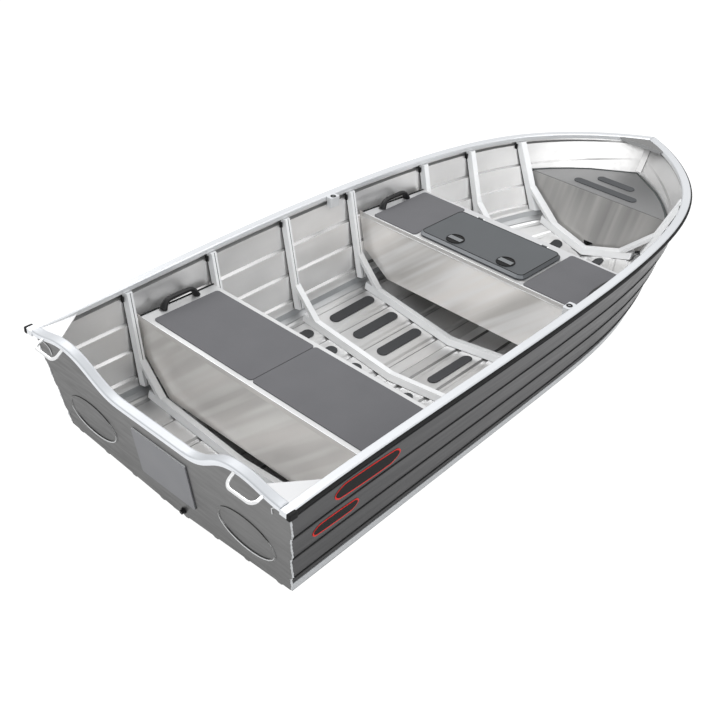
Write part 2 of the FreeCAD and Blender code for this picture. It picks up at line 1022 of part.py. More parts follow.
def cap_line(drop=0):
    """Top line of the transom, a dip for the motor between two humps, or
    the line that lies a drop below it."""
    low = size("dip_height") - drop
    high = size("hump_height") - drop
    shoulder = size("shoulder_height") - drop
    spread = size("hump_half_width") - size("dip_half_width")
    ease = spread * CAP_EASE
    climb = math.atan2(high - low, spread - ease)
    widening = drop * math.tan(climb / 2)
    dip = size("dip_half_width") + widening
    hump = size("hump_half_width") + widening
    end = cap_end()
    fall = (end - hump) * SHOULDER_EASE
    swoop = curve([(dip, low), (dip + ease, low), (hump - ease, high), (hump, high)])
    slope = curve([(hump, high), (hump + fall, high), (end - fall, shoulder), (end, shoulder)])
    bottom = Part.LineSegment(on_transom(-dip, low), on_transom(dip, low)).toShape()
    edges = [mirrored(slope), mirrored(swoop), bottom, swoop, slope]
    return Part.Wire(Part.__sortEdges__(edges))


def wire_ends(wire):
    """End points of an open wire, port one last."""
    ends = [wire.OrderedVertexes[0].Point, wire.OrderedVertexes[-1].Point]
    return sorted(ends, key=lambda point: point.y)


def between(upper, lower):
    """Face between two lines that end side by side."""
    upper_ends = wire_ends(upper)
    lower_ends = wire_ends(lower)
    edges = upper.Edges + lower.Edges
    for a, b in zip(upper_ends, lower_ends):
        edges.append(Part.LineSegment(a, b).toShape())
    return Part.Face(Part.Wire(Part.__sortEdges__(edges)))


def cap_rounding():
    """Rounding of the cap's edges, less where a steep slope narrows the cap."""
    run = (size("hump_half_width") - size("dip_half_width")) * (1 - CAP_EASE)
    climb = math.atan2(size("hump_height") - size("dip_height"), run)
    run = (cap_end() - size("hump_half_width")) * (1 - SHOULDER_EASE)
    fall = math.atan2(abs(size("hump_height") - size("shoulder_height")), run)
    narrow = size("cap_thickness") * math.cos(max(climb, fall))
    return min(size("cap_round"), (narrow - size("cap_flat")) / 2)


def transom_cap():
    face = between(cap_line(), cap_line(size("cap_thickness")))
    start = rake_normal * -cap_half
    solid = face.translated(start).extrude(rake_normal * size("cap_width"))
    crosswise = [edge for edge in solid.Edges if edge.BoundBox.YLength > size("cap_width")]
    return solid.makeFillet(cap_rounding(), crosswise)


def transom_half_outline():
    """Outer outline from the keel to the gunwale, port side."""
    points = []
    spread, bottom_run, bottom_normal = bottom_axes(0)
    for share, depth in bottom_outline(0):
        point = keel[0] + spread * share + bottom_normal * depth
        points.append(trimmed(point, 0, bottom_run, 0))
    rise, side_run, side_normal = side_axes(0)
    for share, offset in plank_outline(0)[1:]:
        point = chine[0] + rise * share + side_normal * offset
        points.append(trimmed(point, 0, side_run, 0))
    return points


def pressed_oval(side):
    """Raised bead in the shape of an oval, for one side of the transom."""
    centre = on_transom(side * size("oval_offset"), size("oval_level"))
    tilt = FreeCAD.Rotation(Vector(0, 0, 1), Vector(-rake_normal.x, 0, -rake_normal.z))
    bead = size("oval_bead")
    faces = []
    for grow in (0, -bead):
        along = size("oval_length") / 2 + grow
        across = size("oval_height") / 2 + grow
        ellipse = Part.Ellipse(Vector(0, 0, 0), along, across).toShape()
        faces.append(Part.Face(Part.Wire(ellipse)))
    ring = faces[0].cut(faces[1]).extrude(Vector(0, 0, size("oval_rise") + 1))
    ring.Placement = FreeCAD.Placement(Vector(), FreeCAD.Rotation(Vector(0, 0, 1), 90))
    moved = Part.makeCompound([ring])
    moved.Placement = FreeCAD.Placement(centre + rake_normal, tilt)
    return moved.Solids[0]


def transom_plate():
    half = transom_half_outline()
    head = half[-1]
    top = cap_line(size("cap_thickness") + seat)
    inner_y = wire_ends(top)[1].y
    low = Vector(transom_x(head.z - seam), head.y, head.z - seam)
    corner = Vector(low.x, inner_y, low.z)
    port = half[:-1] + [low, corner, wire_ends(top)[1]]
    starboard = [Vector(point.x, -point.y, point.z) for point in port]
    edges = Part.makePolygon(port).Edges + Part.makePolygon(starboard).Edges
    edges.append(Part.LineSegment(port[0], starboard[0]).toShape())
    edges += top.Edges
    face = Part.Face(Part.Wire(Part.__sortEdges__(edges)))
    plate = face.extrude(rake_normal * size("transom_thickness"))
    for side in (1, -1):
        plate = plate.fuse(pressed_oval(side))
    return plate.removeSplitter()


add_shape("transom_plate", transom_plate())
add_shape("transom_cap", transom_cap())

plane_up = Vector(-rake_normal.z, 0, rake_normal.x)
outside_turn = FreeCAD.Rotation(Vector(0, -1, 0), plane_up, rake_normal * -1, "ZXY")


def motor_pad():
    """Plate on the transom's outside that the motor's clamps bear on."""
    middle_z = size("motor_pad_low") + size("motor_pad_height") / 2
    corner = on_transom(0, middle_z) - rake_normal * seat
    return rounded_plate("motor_pad", corner, "Dimensions.motor_pad_width",
                         "Dimensions.motor_pad_height", "Dimensions.motor_pad_thickness",
                         "Dimensions.motor_pad_thickness * 1.5", outside_turn)


def drain_bung():
    """Plug low on the transom: a flange with a smaller knob."""
    body = add_body("drain_bung", on_transom(-size("bung_offset"), size("bung_level"))
                    - rake_normal * seat, outside_turn)
    flange = add_sketch(body)
    draw_circle(flange, "0", "0", "Dimensions.bung_radius")
    add_pad(body, flange, "Dimensions.bung_length / 3")
    knob = add_sketch(body)
    draw_circle(knob, "0", "0", "Dimensions.bung_radius * 0.7")
    add_pad(body, knob, "Dimensions.bung_length")


motor_pad()
drain_bung()


# Corner plates between the transom cap and the gunwales

def gunwale_inner_y(x):
    return min(corners_at("gunwale", x))[0]


def corner_gusset(side, name):
    """Triangular plate in a top corner of the transom."""
    level = sheer[0].z - size("gusset_drop") - size("gusset_thickness")
    start = transom_x(level) + cap_half / rake_normal.x + size("gusset_gap")
    along = size("gusset_along")
    near = gunwale_inner_y(start) - size("gunwale_seat")
    far = gunwale_inner_y(start + along) - size("gunwale_seat")
    turn = math.degrees(math.atan2(far - near, along))
    corner = Vector(start, side * near, level)
    body = add_body(name, corner, FreeCAD.Rotation(UP, side * turn))
    sketch = add_sketch(body)
    across = f"{-side} * Dimensions.gusset_across"
    draw_polygon(sketch, [("0", "0"), ("Dimensions.gusset_along", "0"), ("0", across)])
    add_pad(body, sketch, "Dimensions.gusset_thickness")


corner_gusset(1, "corner_gusset_port")
corner_gusset(-1, "corner_gusset_starboard")


# Bent rods: lifting handles on the transom and the eye on the stem

def bent_path(points, bend):
    """Straight runs joined by arcs of one bend radius."""
    edges = []
    start = points[0]
    for before, corner, after in zip(points, points[1:], points[2:]):
        back = (before - corner).normalize()
        ahead = (after - corner).normalize()
        half_angle = back.getAngle(ahead) / 2
        reach = bend / math.tan(half_angle)
        first = corner + back * reach
        last = corner + ahead * reach
        bisector = (back + ahead).normalize()
        middle_point = corner + bisector * (bend / math.sin(half_angle) - bend)
        edges.append(Part.LineSegment(start, first).toShape())
        edges.append(Part.Arc(first, middle_point, last).toShape())
        start = last
    edges.append(Part.LineSegment(start, points[-1]).toShape())
    return Part.Wire(edges)


def bent_rod(points, bend, diameter):
    path = bent_path(points, bend)
    direction = (points[1] - points[0]).normalize()
    circle = Part.Wire(Part.makeCircle(diameter / 2, points[0], direction))
    return path.makePipeShell([circle], True, True)


def cap_top_z(y):
    """Height of the transom cap's top line at a breadth."""
    for edge in cap_line().Edges:
        if edge.BoundBox.YMin <= y <= edge.BoundBox.YMax:
            return edge_point(edge, y, 1).z


def lifting_handle():
    rod = size("handle_rod")
    bar_x = cap_plane.x - size("handle_reach")
    feet = []
    for breadth in (size("handle_inner"), size("handle_outer")):
        z = cap_top_z(breadth) - size("cap_thickness") / 2
        feet.append(on_transom(breadth, z) - rake_normal * (cap_half - rod))
    bar_z = (feet[0].z + feet[1].z) / 2 - size("handle_drop")
    points = [
        feet[0],
        Vector(bar_x, feet[0].y, bar_z),
        Vector(bar_x, feet[1].y, bar_z),
        feet[1],
    ]
    inside = Part.makeBox(4 * rod, size("handle_outer"),
                          size("hump_height") + size("shoulder_height"))
    inside.Placement = FreeCAD.Placement(
        on_transom(size("handle_inner") - rod * 2, 0) - rake_normal * (cap_half + seat),
        FreeCAD.Rotation(Vector(1, 0, 0), rake_normal))
    return bent_rod(points, size("handle_bend"), rod).cut(inside)


def bow_eye():
    """U bolt that stands out of the stem for a towing line."""
    half = size("bow_eye_radius")
    chord = stem_head - chine[-1]
    share = (size("bow_eye_height") - chine[-1].z) / chord.z
    run = chord.normalize()
    outward = Vector(run.z, 0, -run.x)
    centre = stem_profile(1 + share) + outward * (size("keel_depth") / 2)
    reach = outward * (size("keel_depth") / 2 + half * 1.6)
    low = centre - run * half
    high = centre + run * half
    rod = bent_rod([low, low + reach, high + reach, high], half * 0.8, size("bow_eye_rod"))
    return rod.cut(keel_bar)


add_pair("lifting_handle", lifting_handle())
add_shape("bow_eye", bow_eye())


# Thwarts: a folded top on a plate at each long side

def flat_plate(corners, thickness):
    """Level plate from its corners, thickness upwards."""
    face = Part.Face(Part.makePolygon(corners + corners[:1]))
    return face.extrude(UP * thickness)


def thwart_half_width(x, top):
    return side_y(x, top) - size("thwart_side_gap")


def thwart_top(name):
    start = size(f"{name}_thwart_start")
    end = size(f"{name}_thwart_end")
    top = size(f"{name}_thwart_top")
    wall = size("thwart_sheet")
    wide = thwart_half_width(start, top)
    narrow = thwart_half_width(end, top)
    low = top - wall
    corners = [Vector(start, -wide, low), Vector(end, -narrow, low),
               Vector(end, narrow, low), Vector(start, wide, low)]
    plate = flat_plate(corners, wall)
    lip = size("thwart_lip")
    aft_lip = Part.makeBox(wall, wide * 2, lip, Vector(start, -wide, top - lip))
    fore_lip = Part.makeBox(wall, narrow * 2, lip, Vector(end - wall, -narrow, top - lip))
    folded = plate.fuse([aft_lip, fore_lip]).removeSplitter()
    if name != "mid":
        return folded
    return folded.cut(hatch_hole())


def hatch_hole():
    """Cut-out that the hatch's coaming drops through."""
    rim = size("frame_rim") - size("bin_wall") - seat
    length = size("hatch_length") - 2 * rim
    width = size("hatch_width") - 2 * rim
    depth = size("coaming_drop")
    corner = Vector(size("hatch_start") + rim, -width / 2, size("mid_thwart_top") - depth)
    return Part.makeBox(length, width, depth * 2, corner)


def cross_plate(x, half_outline, thickness):
    """Upright plate across the boat from its port half outline."""
    port = [Vector(x, y, z) for y, z in half_outline]
    starboard = [Vector(x, -y, z) for y, z in half_outline if y > 0]
    corners = port + starboard[::-1]
    face = Part.Face(Part.makePolygon(corners + corners[:1]))
    return face.extrude(Vector(thickness, 0, 0))


def panel_reach(x, z, floor):
    """Half width of a cross plate that fits between the sides above a level."""
    lines = [side_line(face, floor) for face in (x, x + size("panel_sheet"))]
    return min(start + slope * z for start, slope in lines) - size("panel_side_gap")


def thwart_panel(name, x):
    """Plate under a thwart's edge, cut off at the brackets."""
    top = size(f"{name}_thwart_top") - size("thwart_sheet") - seat
    foot = size(f"{name}_panel_foot")
    chine_y, chine_z = chine_at(x)
    knee = chine_z + size("bracket_up")
    outline = [
        (panel_reach(x, top, knee), top),
        (panel_reach(x, knee, knee), knee),
        (chine_y - size("bracket_in"), foot),
    ]
    return cross_plate(x, outline, size("panel_sheet"))


def add_thwart(name):
    add_shape(f"{name}_thwart_top", thwart_top(name))
    wall = size("thwart_sheet") + seat
    fore = size(f"{name}_thwart_end") - wall - size("panel_sheet")
    aft = size(f"{name}_thwart_start") + wall
    add_shape(f"{name}_thwart_aft_panel", thwart_panel(name, aft))
    add_shape(f"{name}_thwart_fore_panel", thwart_panel(name, fore))


add_thwart("aft")
add_thwart("mid")


def mat(name, x_start, x_end, y_inner, y_outer, top, length, width):
    """Grip mat stuck on a thwart."""
    corner = Vector((x_start + x_end) / 2, (y_inner + y_outer) / 2, top + seat)
    rounded_plate(name, corner, length, width, "Dimensions.mat_thickness",
                  "Dimensions.mat_round")


def add_mats():
    edge = size("mat_edge")
    aft_ends = (size("aft_thwart_start") + edge, size("aft_thwart_end") - edge)
    inner = size("mat_seam") / 2
    outer = size("aft_mat_reach")
    aft_length = "Dimensions.aft_thwart_end - Dimensions.aft_thwart_start"
    aft_length += " - 2 * Dimensions.mat_edge"
    aft_width = "Dimensions.aft_mat_reach - Dimensions.mat_seam / 2"
    mid_ends = (size("mid_mat_start"), size("mid_mat_end"))
    mid_length = "Dimensions.mid_mat_end - Dimensions.mid_mat_start"
    mid_inner = size("hatch_width") / 2 + size("mat_hatch_gap")
    mid_width = "Dimensions.mid_mat_outer - Dimensions.hatch_width / 2"
    mid_width += " - Dimensions.mat_hatch_gap"
    for side, word in ((1, "port"), (-1, "starboard")):
        mat(f"aft_mat_{word}", *aft_ends, side * inner, side * outer,
            size("aft_thwart_top"), aft_length, aft_width)
        mat(f"mid_mat_{word}", *mid_ends, side * mid_inner,
            side * size("mid_mat_outer"), size("mid_thwart_top"), mid_length, mid_width)


add_mats()


# Hatch in the middle thwart: frame with coaming, locker bin, lid and hinges

hatch_middle = size("hatch_start") + size("hatch_length") / 2
frame_foot = size("mid_thwart_top") + seat


def on_radius(x, y):
    """Test for upright edges at a place, in a piece drawn about its middle."""
    def wanted(edge):
        point = edge.Vertexes[0].Point
        return upright(edge) and abs(abs(point.x) - x) < 0.2 and abs(abs(point.y) - y) < 0.2
    return wanted


def hatch_frame():
    body = add_body("hatch_frame", Vector(hatch_middle, 0, frame_foot))
    length = "Dimensions.hatch_length"
    width = "Dimensions.hatch_width"
    inset = "2 * Dimensions.frame_rim"
    wall = "2 * Dimensions.bin_wall"
    flange = add_sketch(body)
    draw_polygon(flange, rectangle_corners(length, width))
    draw_polygon(flange, rectangle_corners(f"{length} - {inset}", f"{width} - {inset}"))
    add_pad(body, flange, "Dimensions.frame_flange")
    coaming = add_sketch(body)
    for extra in (f" + {wall}", ""):
        draw_polygon(coaming, rectangle_corners(f"{length} - {inset}{extra}",
                                                f"{width} - {inset}{extra}"))
    pad = add_pad(body, coaming, "Dimensions.coaming_drop", down=True)
    far = on_radius(size("hatch_length") / 2, size("hatch_width") / 2)
    rounding = round_edges(body, pad, "Dimensions.hatch_round", far)
    rim = size("frame_rim")
    near = on_radius(size("hatch_length") / 2 - rim, size("hatch_width") / 2 - rim)
    round_edges(body, rounding, "Dimensions.hatch_round - Dimensions.frame_rim", near)


def locker_bin():
    """Open sheet bin hung under the hatch."""
    top = size("mid_thwart_top") - size("thwart_sheet") - seat
    body = add_body("locker_bin", Vector(hatch_middle, 0, top))
    play = "2 * (Dimensions.frame_rim - 2 * Dimensions.bin_wall)"
    length = f"Dimensions.hatch_length - {play}"
    width = f"Dimensions.hatch_width - {play}"
    outer = add_sketch(body)
    draw_polygon(outer, rectangle_corners(f"{length} + 2 * Dimensions.bin_wall",
                                          f"{width} + 2 * Dimensions.bin_wall"))
    add_pad(body, outer, "Dimensions.bin_depth", down=True)
    inner = add_sketch(body)
    draw_polygon(inner, rectangle_corners(length, width))
    add_pocket(body, inner, "Dimensions.bin_depth - Dimensions.bin_wall")


def hatch_lid():
    level = frame_foot + size("frame_flange") + size("lid_gap")
    body = add_body("hatch_lid", Vector(hatch_middle, 0, level))
    length = "Dimensions.hatch_length - 2 * Dimensions.lid_margin"
    width = "Dimensions.hatch_width - 2 * Dimensions.lid_margin"
    outer = add_sketch(body)
    draw_polygon(outer, rectangle_corners(length, width))
    pad = add_pad(body, outer, "Dimensions.lid_thickness")
    corners = round_edges(body, pad, "Dimensions.hatch_round - Dimensions.lid_margin", upright)
    top = size("lid_thickness")
    round_edges(body, corners, "Dimensions.lid_bevel",
                lambda edge: edge.BoundBox.ZMin > top - 0.01, "Chamfer")
    hollow = add_sketch(body)
    draw_polygon(hollow, rectangle_corners(f"{length} - 3 * Dimensions.lid_bevel",
                                           f"{width} - 3 * Dimensions.lid_bevel"))
    add_pocket(body, hollow, "Dimensions.lid_thickness - Dimensions.lid_wall", upward=True)


hinge_axis = Vector(size("hatch_start") + size("hatch_length") - size("lid_margin")
                    + size("hinge_offset"), 0, size("mid_thwart_top") + size("hinge_level"))
hinge_places = [side * size("hinge_spread") / 2 for side in (1, -1)]
barrel = size("hinge_round")


def across_cylinder(radius, start, length):
    """Cylinder along the hinge line, from a breadth to port of it."""
    centre = Vector(hinge_axis.x, start, hinge_axis.z)
    return Part.makeCylinder(radius, length, centre, Vector(0, 1, 0))


def lid_knuckle(y):
    """Strap and barrel that carry the lid on the pin."""
    wide = size("hinge_knuckle")
    start = y - wide / 2
    reach = size("hinge_offset") - seat
    strap_top = frame_foot + size("frame_flange") + size("lid_gap") + size("lid_wall")
    height = strap_top - (hinge_axis.z - barrel * 0.8)
    strap = Part.makeBox(reach, wide, height,
                         Vector(hinge_axis.x - reach, start, strap_top - height))
    round_part = across_cylinder(barrel, start, wide)
    bore = across_cylinder(size("hinge_pin") / 2 + size("hinge_play"), start, wide)
    return round_part.fuse(strap).cut(bore)


def hinge_seat(y):
    """Leaf on the thwart with two ears and the pin between them."""
    ear = size("hinge_ear")
    half = size("hinge_knuckle") / 2 + size("hinge_side_gap")
    leaf_low = size("mid_thwart_top") + seat
    leaf = Part.makeBox(size("hinge_leaf"), 2 * (half + ear), size("thwart_sheet"),
                        Vector(hinge_axis.x - barrel, y - half - ear, leaf_low))
    pieces = [across_cylinder(size("hinge_pin") / 2, y - half - ear, 2 * (half + ear))]
    for start in (y - half - ear, y + half):
        pieces.append(across_cylinder(barrel, start, ear))
        pieces.append(Part.makeBox(2 * barrel, ear, hinge_axis.z - leaf_low,
                                   Vector(hinge_axis.x - barrel, start, leaf_low)))
    return leaf.fuse(pieces).removeSplitter()


def twist_latch(y):
    """Round latch on the lid, a grip across a shallow dish."""
    level = frame_foot + size("frame_flange") + size("lid_gap") + size("lid_thickness")
    radius = size("latch_radius")
    height = size("latch_height")
    inner = radius - size("latch_rim")
    x = size("hatch_start") + size("lid_margin") + size("latch_inset")
    base = Vector(x, y, level + seat)
    disc = Part.makeCone(radius, radius - height / 2, height, base)
    dish = Part.makeCylinder(inner, height, base + UP * size("latch_floor"))
    half = size("latch_grip") / 2
    grip = Part.makeBox(half * 2, radius * 2, height, base - Vector(half, radius, 0))
    core = Part.makeCylinder(inner + size("latch_rim") / 4, height, base)
    return disc.cut(dish).fuse(grip.common(core)).removeSplitter()


hatch_frame()
locker_bin()
hatch_lid()
add_shape("lid_knuckles", Part.makeCompound([lid_knuckle(y) for y in hinge_places]))
add_shape("hinge_seats", Part.makeCompound([hinge_seat(y) for y in hinge_places]))
latch_places = [side * size("latch_spread") / 2 - size("latch_shift") for side in (1, -1)]
add_shape("lid_latches", Part.makeCompound([twist_latch(y) for y in latch_places]))


# Carrying handles near the ends of the thwarts

def grab_handle(thwart, side, word):
    start = size(f"{thwart}_grab_start")
    top = size(f"{thwart}_thwart_top")
    breadth = thwart_half_width(start + size("grab_length"), top) - size(f"{thwart}_grab_inset")
    body = add_body(f"{thwart}_grab_handle_{word}", Vector(start, side * breadth, top + seat))
    sketch = add_sketch(body, "XZ_Plane")
    end = "Dimensions.grab_length"
    foot = "Dimensions.grab_foot"
    slope = "Dimensions.grab_slope"
    high = "Dimensions.grab_height"
    under = f"{high} - Dimensions.grab_bar"
    draw_polygon(sketch, [
        ("0", "0"), (foot, "0"), (f"{foot} + {slope}", under),
        (f"{end} - {foot} - {slope}", under), (f"{end} - {foot}", "0"), (end, "0"),
        (f"{end} - {slope}", high), (slope, high),
    ])
    pad = add_pad(body, sketch, "Dimensions.grab_width")
    pad.SideType = "Symmetric"
    doc.recompute()
    round_edges(body, pad, "Dimensions.grab_round",
                lambda edge: edge.BoundBox.YLength > 1 and edge.BoundBox.ZMin > 1)
    half = "Dimensions.grab_flare / 2"
    for near, far in (("0", foot), (f"{end} - {foot}", end)):
        sole = add_sketch(body)
        draw_polygon(sole, [(near, f"-{half}"), (far, f"-{half}"), (far, half), (near, half)])
        add_pad(body, sole, "Dimensions.grab_sole")


for thwart in ("aft", "mid"):
    grab_handle(thwart, 1, "port")
    grab_handle(thwart, -1, "starboard")


# Buoyancy box and breasthook in the bow

BOW_STEPS = 3


def bow_box_top():
    start = size("bow_box_start")
    top = size("bow_box_top")
    gap = size("bow_box_gap")
    pitch = (chine[-1].x - size("bow_box_gap") * 10 - start) / BOW_STEPS
    port = []
    for step in range(BOW_STEPS + 1):
        x = start + pitch * step
        port.append(Vector(x, side_y(x, top) - gap, top - size("thwart_sheet")))
    stem = chine[-1] + (stem_head - chine[-1]) * (
        (top - chine[-1].z) / (stem_head.z - chine[-1].z))
    tip = Vector(stem.x - gap * 2, 0, top - size("thwart_sheet"))
    starboard = [Vector(point.x, -point.y, point.z) for point in port]
    return flat_plate(port + [tip] + starboard[::-1], size("thwart_sheet"))


def bow_box_face():
    x = size("bow_box_start")
    top = size("bow_box_top") - size("thwart_sheet") - seat
    gap = size("bow_box_gap")
    chine_y, chine_z = chine_at(x)
    knee = chine_z + size("inner_band") + gap
    foot = chine_y - size("inner_flange") - gap
    slot = size("limber_half_width")
    outline = [
        (panel_reach(x, top, knee), top),
        (panel_reach(x, knee, knee), knee),
        (foot, bottom_z(x, foot) + gap),
        (slot, bottom_z(x, slot) + gap),
        (slot, bottom_z(x, slot) + size("limber_height")),
    ]
    return cross_plate(x, outline, size("panel_sheet"))


def breasthook():
    """Plate that ties the two gunwales together at the stem."""
    tip = edge_section(STATIONS - 1, gunwale_outline())[4]
    level = sheer[-1].z - size("gunwale_bevel") - size("breasthook_thickness")
    port = []
    for share in (1, 0.5):
        x = tip.x - size("breasthook_length") * share
        port.append(Vector(x, gunwale_inner_y(x) - seat, level))
    starboard = [Vector(point.x, -point.y, point.z) for point in port]
    thickness = size("breasthook_thickness")
    nose = Vector(tip.x - thickness, 0, level)
    plate = flat_plate(port + [nose] + starboard[::-1], thickness)
    drop = size("breasthook_lip")
    breadth = port[0].y - drop
    lip = Part.makeBox(thickness, breadth * 2, drop, Vector(port[0].x, -breadth, level - drop))
    return plate.fuse(lip).removeSplitter()


BACKING_STEPS = 4


def stem_backing():
    """Strip that covers the joint of the two sides inside the stem."""
    half = size("backing_width") / 2
    gunwale_foot = sheer[-1].z - size("gunwale_depth") - size("breasthook_lip")
    low = size("bow_box_top") + size("mat_thickness")
    line = []
    for step in range(BACKING_STEPS + 1):
        z = low + (gunwale_foot - low) * step / BACKING_STEPS
        far = Vector(stem_head.x, half, z)
        near = Vector(size("bow_box_start"), half, z)
        line.append(Vector(min(hit.x for hit in crossings(sheets["side"], near, far)), 0, z))
    back = [point - Vector(seat + size("backing_thickness"), 0, 0) for point in line]
    front = [point - Vector(seat, 0, 0) for point in line]
    outline = [point - Vector(0, half, 0) for point in back + front[::-1]]
    face = Part.Face(Part.makePolygon(outline + outline[:1]))
    return face.extrude(Vector(0, half * 2, 0))


def bow_mat(number, word, length):
    """Grip strip across the box's top."""
    x = size("bow_mat_first") + size("bow_mat_pitch") * number
    rounded_plate(f"bow_mat_{word}", Vector(x, 0, size("bow_box_top") + seat),
                  "Dimensions.bow_mat_width", length, "Dimensions.mat_thickness",
                  "Dimensions.bow_mat_width * 0.49")


add_shape("bow_box_top", bow_box_top())
add_shape("bow_box_face", bow_box_face())
bow_mat(0, "aft", "Dimensions.bow_mat_long")
bow_mat(1, "fore", "Dimensions.bow_mat_short")
add_shape("breasthook", breasthook())
add_shape("stem_backing", stem_backing())


# Rowlock sockets inside the gunwales

def rowlock_socket(side, word):
    x = size("rowlock_station")
    corners = corners_at("gunwale", x)
    inner_y = min(corners)[0]
    top = max(z for y, z in corners) - size("gunwale_bevel")
    breadth = inner_y - seat - size("rowlock_block") / 2
    corner = Vector(x, side * breadth, top)
    run = gunwale_inner_y(x + size("rowlock_long")) - gunwale_inner_y(x)
    turn = math.degrees(math.atan2(run, size("rowlock_long")))
    body = add_body(f"rowlock_socket_{word}", corner, FreeCAD.Rotation(UP, side * turn))
    outline = add_sketch(body)
    draw_polygon(outline, rectangle_corners("Dimensions.rowlock_long",
                                            "Dimensions.rowlock_block"))
    pad = add_pad(body, outline, "Dimensions.rowlock_drop", down=True)
    round_edges(body, pad, "Dimensions.rowlock_block / 5", upright)
    bore = add_sketch(body)
    draw_circle(bore, "0", "0", "Dimensions.rowlock_bore / 2")
    add_pocket(body, bore, "Dimensions.rowlock_drop")


rowlock_socket(1, "port")
rowlock_socket(-1, "starboard")


# Grip pads on the bottom, between the swages

def sheet_level(x, y):
    """Height of the bottom sheet's upper face."""
    high = Vector(x, y, size("bow_box_top"))
    return max(hit.z for hit in crossings(sheets["bottom"], Vector(x, y, 0), high))


def floor_pad(start, length, breadth):
    """Round-ended pad lying on the bottom sheet."""
    half = size("pad_width") / 2
    middle_x = start + length / 2
    points = [Vector(x, y, sheet_level(x, y)) for x, y in (
        (start, breadth), (start + length, breadth),
        (middle_x, breadth - half), (middle_x, breadth + half))]
    along = (points[1] - points[0]).normalize()
    across = (points[3] - points[2]).normalize()
    normal = along.cross(across).normalize()
    if normal.z < 0:
        normal = normal * -1
    centre = (points[0] + points[1]) * 0.5 + normal * size("pad_gap")
    side = normal.cross(along)
    reach = length / 2 - half
    corners = [centre + along * (a * reach) + side * (b * half)
               for a, b in ((-1, -1), (1, -1), (1, 1), (-1, 1))]
    fore_end = Part.Arc(corners[1], centre + along * (reach + half), corners[2])
    aft_end = Part.Arc(corners[3], centre - along * (reach + half), corners[0])
    wire = Part.Wire([
        Part.LineSegment(corners[0], corners[1]).toShape(), fore_end.toShape(),
        Part.LineSegment(corners[2], corners[3]).toShape(), aft_end.toShape(),
    ])
    return Part.Face(wire).extrude(normal * size("pad_thickness"))


def floor_pads():
    pads = []
    pitch = size("pad_offset")
    for start in (size("aft_pad_start"), size("mid_pad_start")):
        for row in (1, 2, 3):
            pads.append(floor_pad(start, size("pad_length"), pitch * row))
    bow = (size("bow_pad_start"), size("bow_pad_length"), size("bow_pad_offset"))
    pads.append(floor_pad(*bow))
    return pads


add_pair("floor_pads", Part.makeCompound(floor_pads()))


# Check every object, then write the sub-parts

doc.recompute()
for item in doc.Objects:
    if "Invalid" in item.State or "Error" in item.State:
        raise ValueError(f"{item.Label} is not sound: {item.State}")
for item in sub_parts:
    if item.Shape.isNull() or not item.Shape.isValid():
        raise ValueError(f"{item.Label} has no valid shape")
for item in sub_parts:
    print(item.Label, len(item.Shape.Solids), round(item.Shape.Volume / 1e3), "cm3",
          item.Shape.BoundBox)
    item.Shape.exportStep(f"parts/{item.Label}.step")
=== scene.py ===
"""Open aluminium rowing boat: finishes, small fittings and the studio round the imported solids."""
import math

import bmesh
import bpy
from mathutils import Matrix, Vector
from mathutils.bvhtree import BVHTree


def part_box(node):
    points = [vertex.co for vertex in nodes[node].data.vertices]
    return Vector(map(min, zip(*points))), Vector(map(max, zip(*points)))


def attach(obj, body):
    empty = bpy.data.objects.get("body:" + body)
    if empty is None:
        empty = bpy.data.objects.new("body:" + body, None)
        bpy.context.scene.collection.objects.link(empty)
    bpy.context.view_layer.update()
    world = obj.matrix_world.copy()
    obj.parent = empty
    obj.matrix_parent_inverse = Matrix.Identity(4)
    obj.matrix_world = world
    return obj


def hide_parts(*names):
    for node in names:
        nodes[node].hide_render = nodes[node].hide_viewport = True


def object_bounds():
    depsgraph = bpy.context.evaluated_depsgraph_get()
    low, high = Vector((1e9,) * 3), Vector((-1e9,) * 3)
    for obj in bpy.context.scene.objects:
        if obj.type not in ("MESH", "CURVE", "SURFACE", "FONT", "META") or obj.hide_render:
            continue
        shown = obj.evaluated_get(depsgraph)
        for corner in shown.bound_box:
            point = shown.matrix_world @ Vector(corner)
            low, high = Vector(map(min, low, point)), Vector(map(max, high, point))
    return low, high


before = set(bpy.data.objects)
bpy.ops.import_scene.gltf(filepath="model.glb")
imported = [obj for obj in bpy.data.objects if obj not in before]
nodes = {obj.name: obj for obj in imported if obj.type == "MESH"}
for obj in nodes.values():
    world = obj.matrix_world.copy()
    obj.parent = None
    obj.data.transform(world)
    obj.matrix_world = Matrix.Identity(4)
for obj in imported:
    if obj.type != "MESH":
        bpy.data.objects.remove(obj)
cad_low, cad_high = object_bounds()


# Shader nodes

def add(tree, kind, **values):
    """A node with its sockets set by name, underscores standing for blanks."""
    made = tree.nodes.new("ShaderNode" + kind)
    for name, value in values.items():
        made.inputs[name.replace("_", " ")].default_value = value
    return made


def feed(tree, shader, **sockets):
    """Values led into a shader's sockets by name, underscores standing for blanks."""
    for name, socket in sockets.items():
        tree.links.new(socket, shader.inputs[name.replace("_", " ")])


def reckon(tree, kind, first, second):
    """A sum on two values, each a number or a socket."""
    step = add(tree, "Math")
    step.operation = kind
    for slot, value in enumerate((first, second)):
        if isinstance(value, (int, float)):
            step.inputs[slot].default_value = value
        else:
            tree.links.new(value, step.inputs[slot])
    return step.outputs[0]


def show_mix(tree, share, first, second, output):
    """A mix of two shaders, shown by the tree's output."""
    mix = add(tree, "MixShader")
    for slot, socket in enumerate((share, first.outputs[0], second.outputs[0])):
        tree.links.new(socket, mix.inputs[slot])
    out = add(tree, output)
    tree.links.new(mix.outputs[0], out.inputs["Surface"])


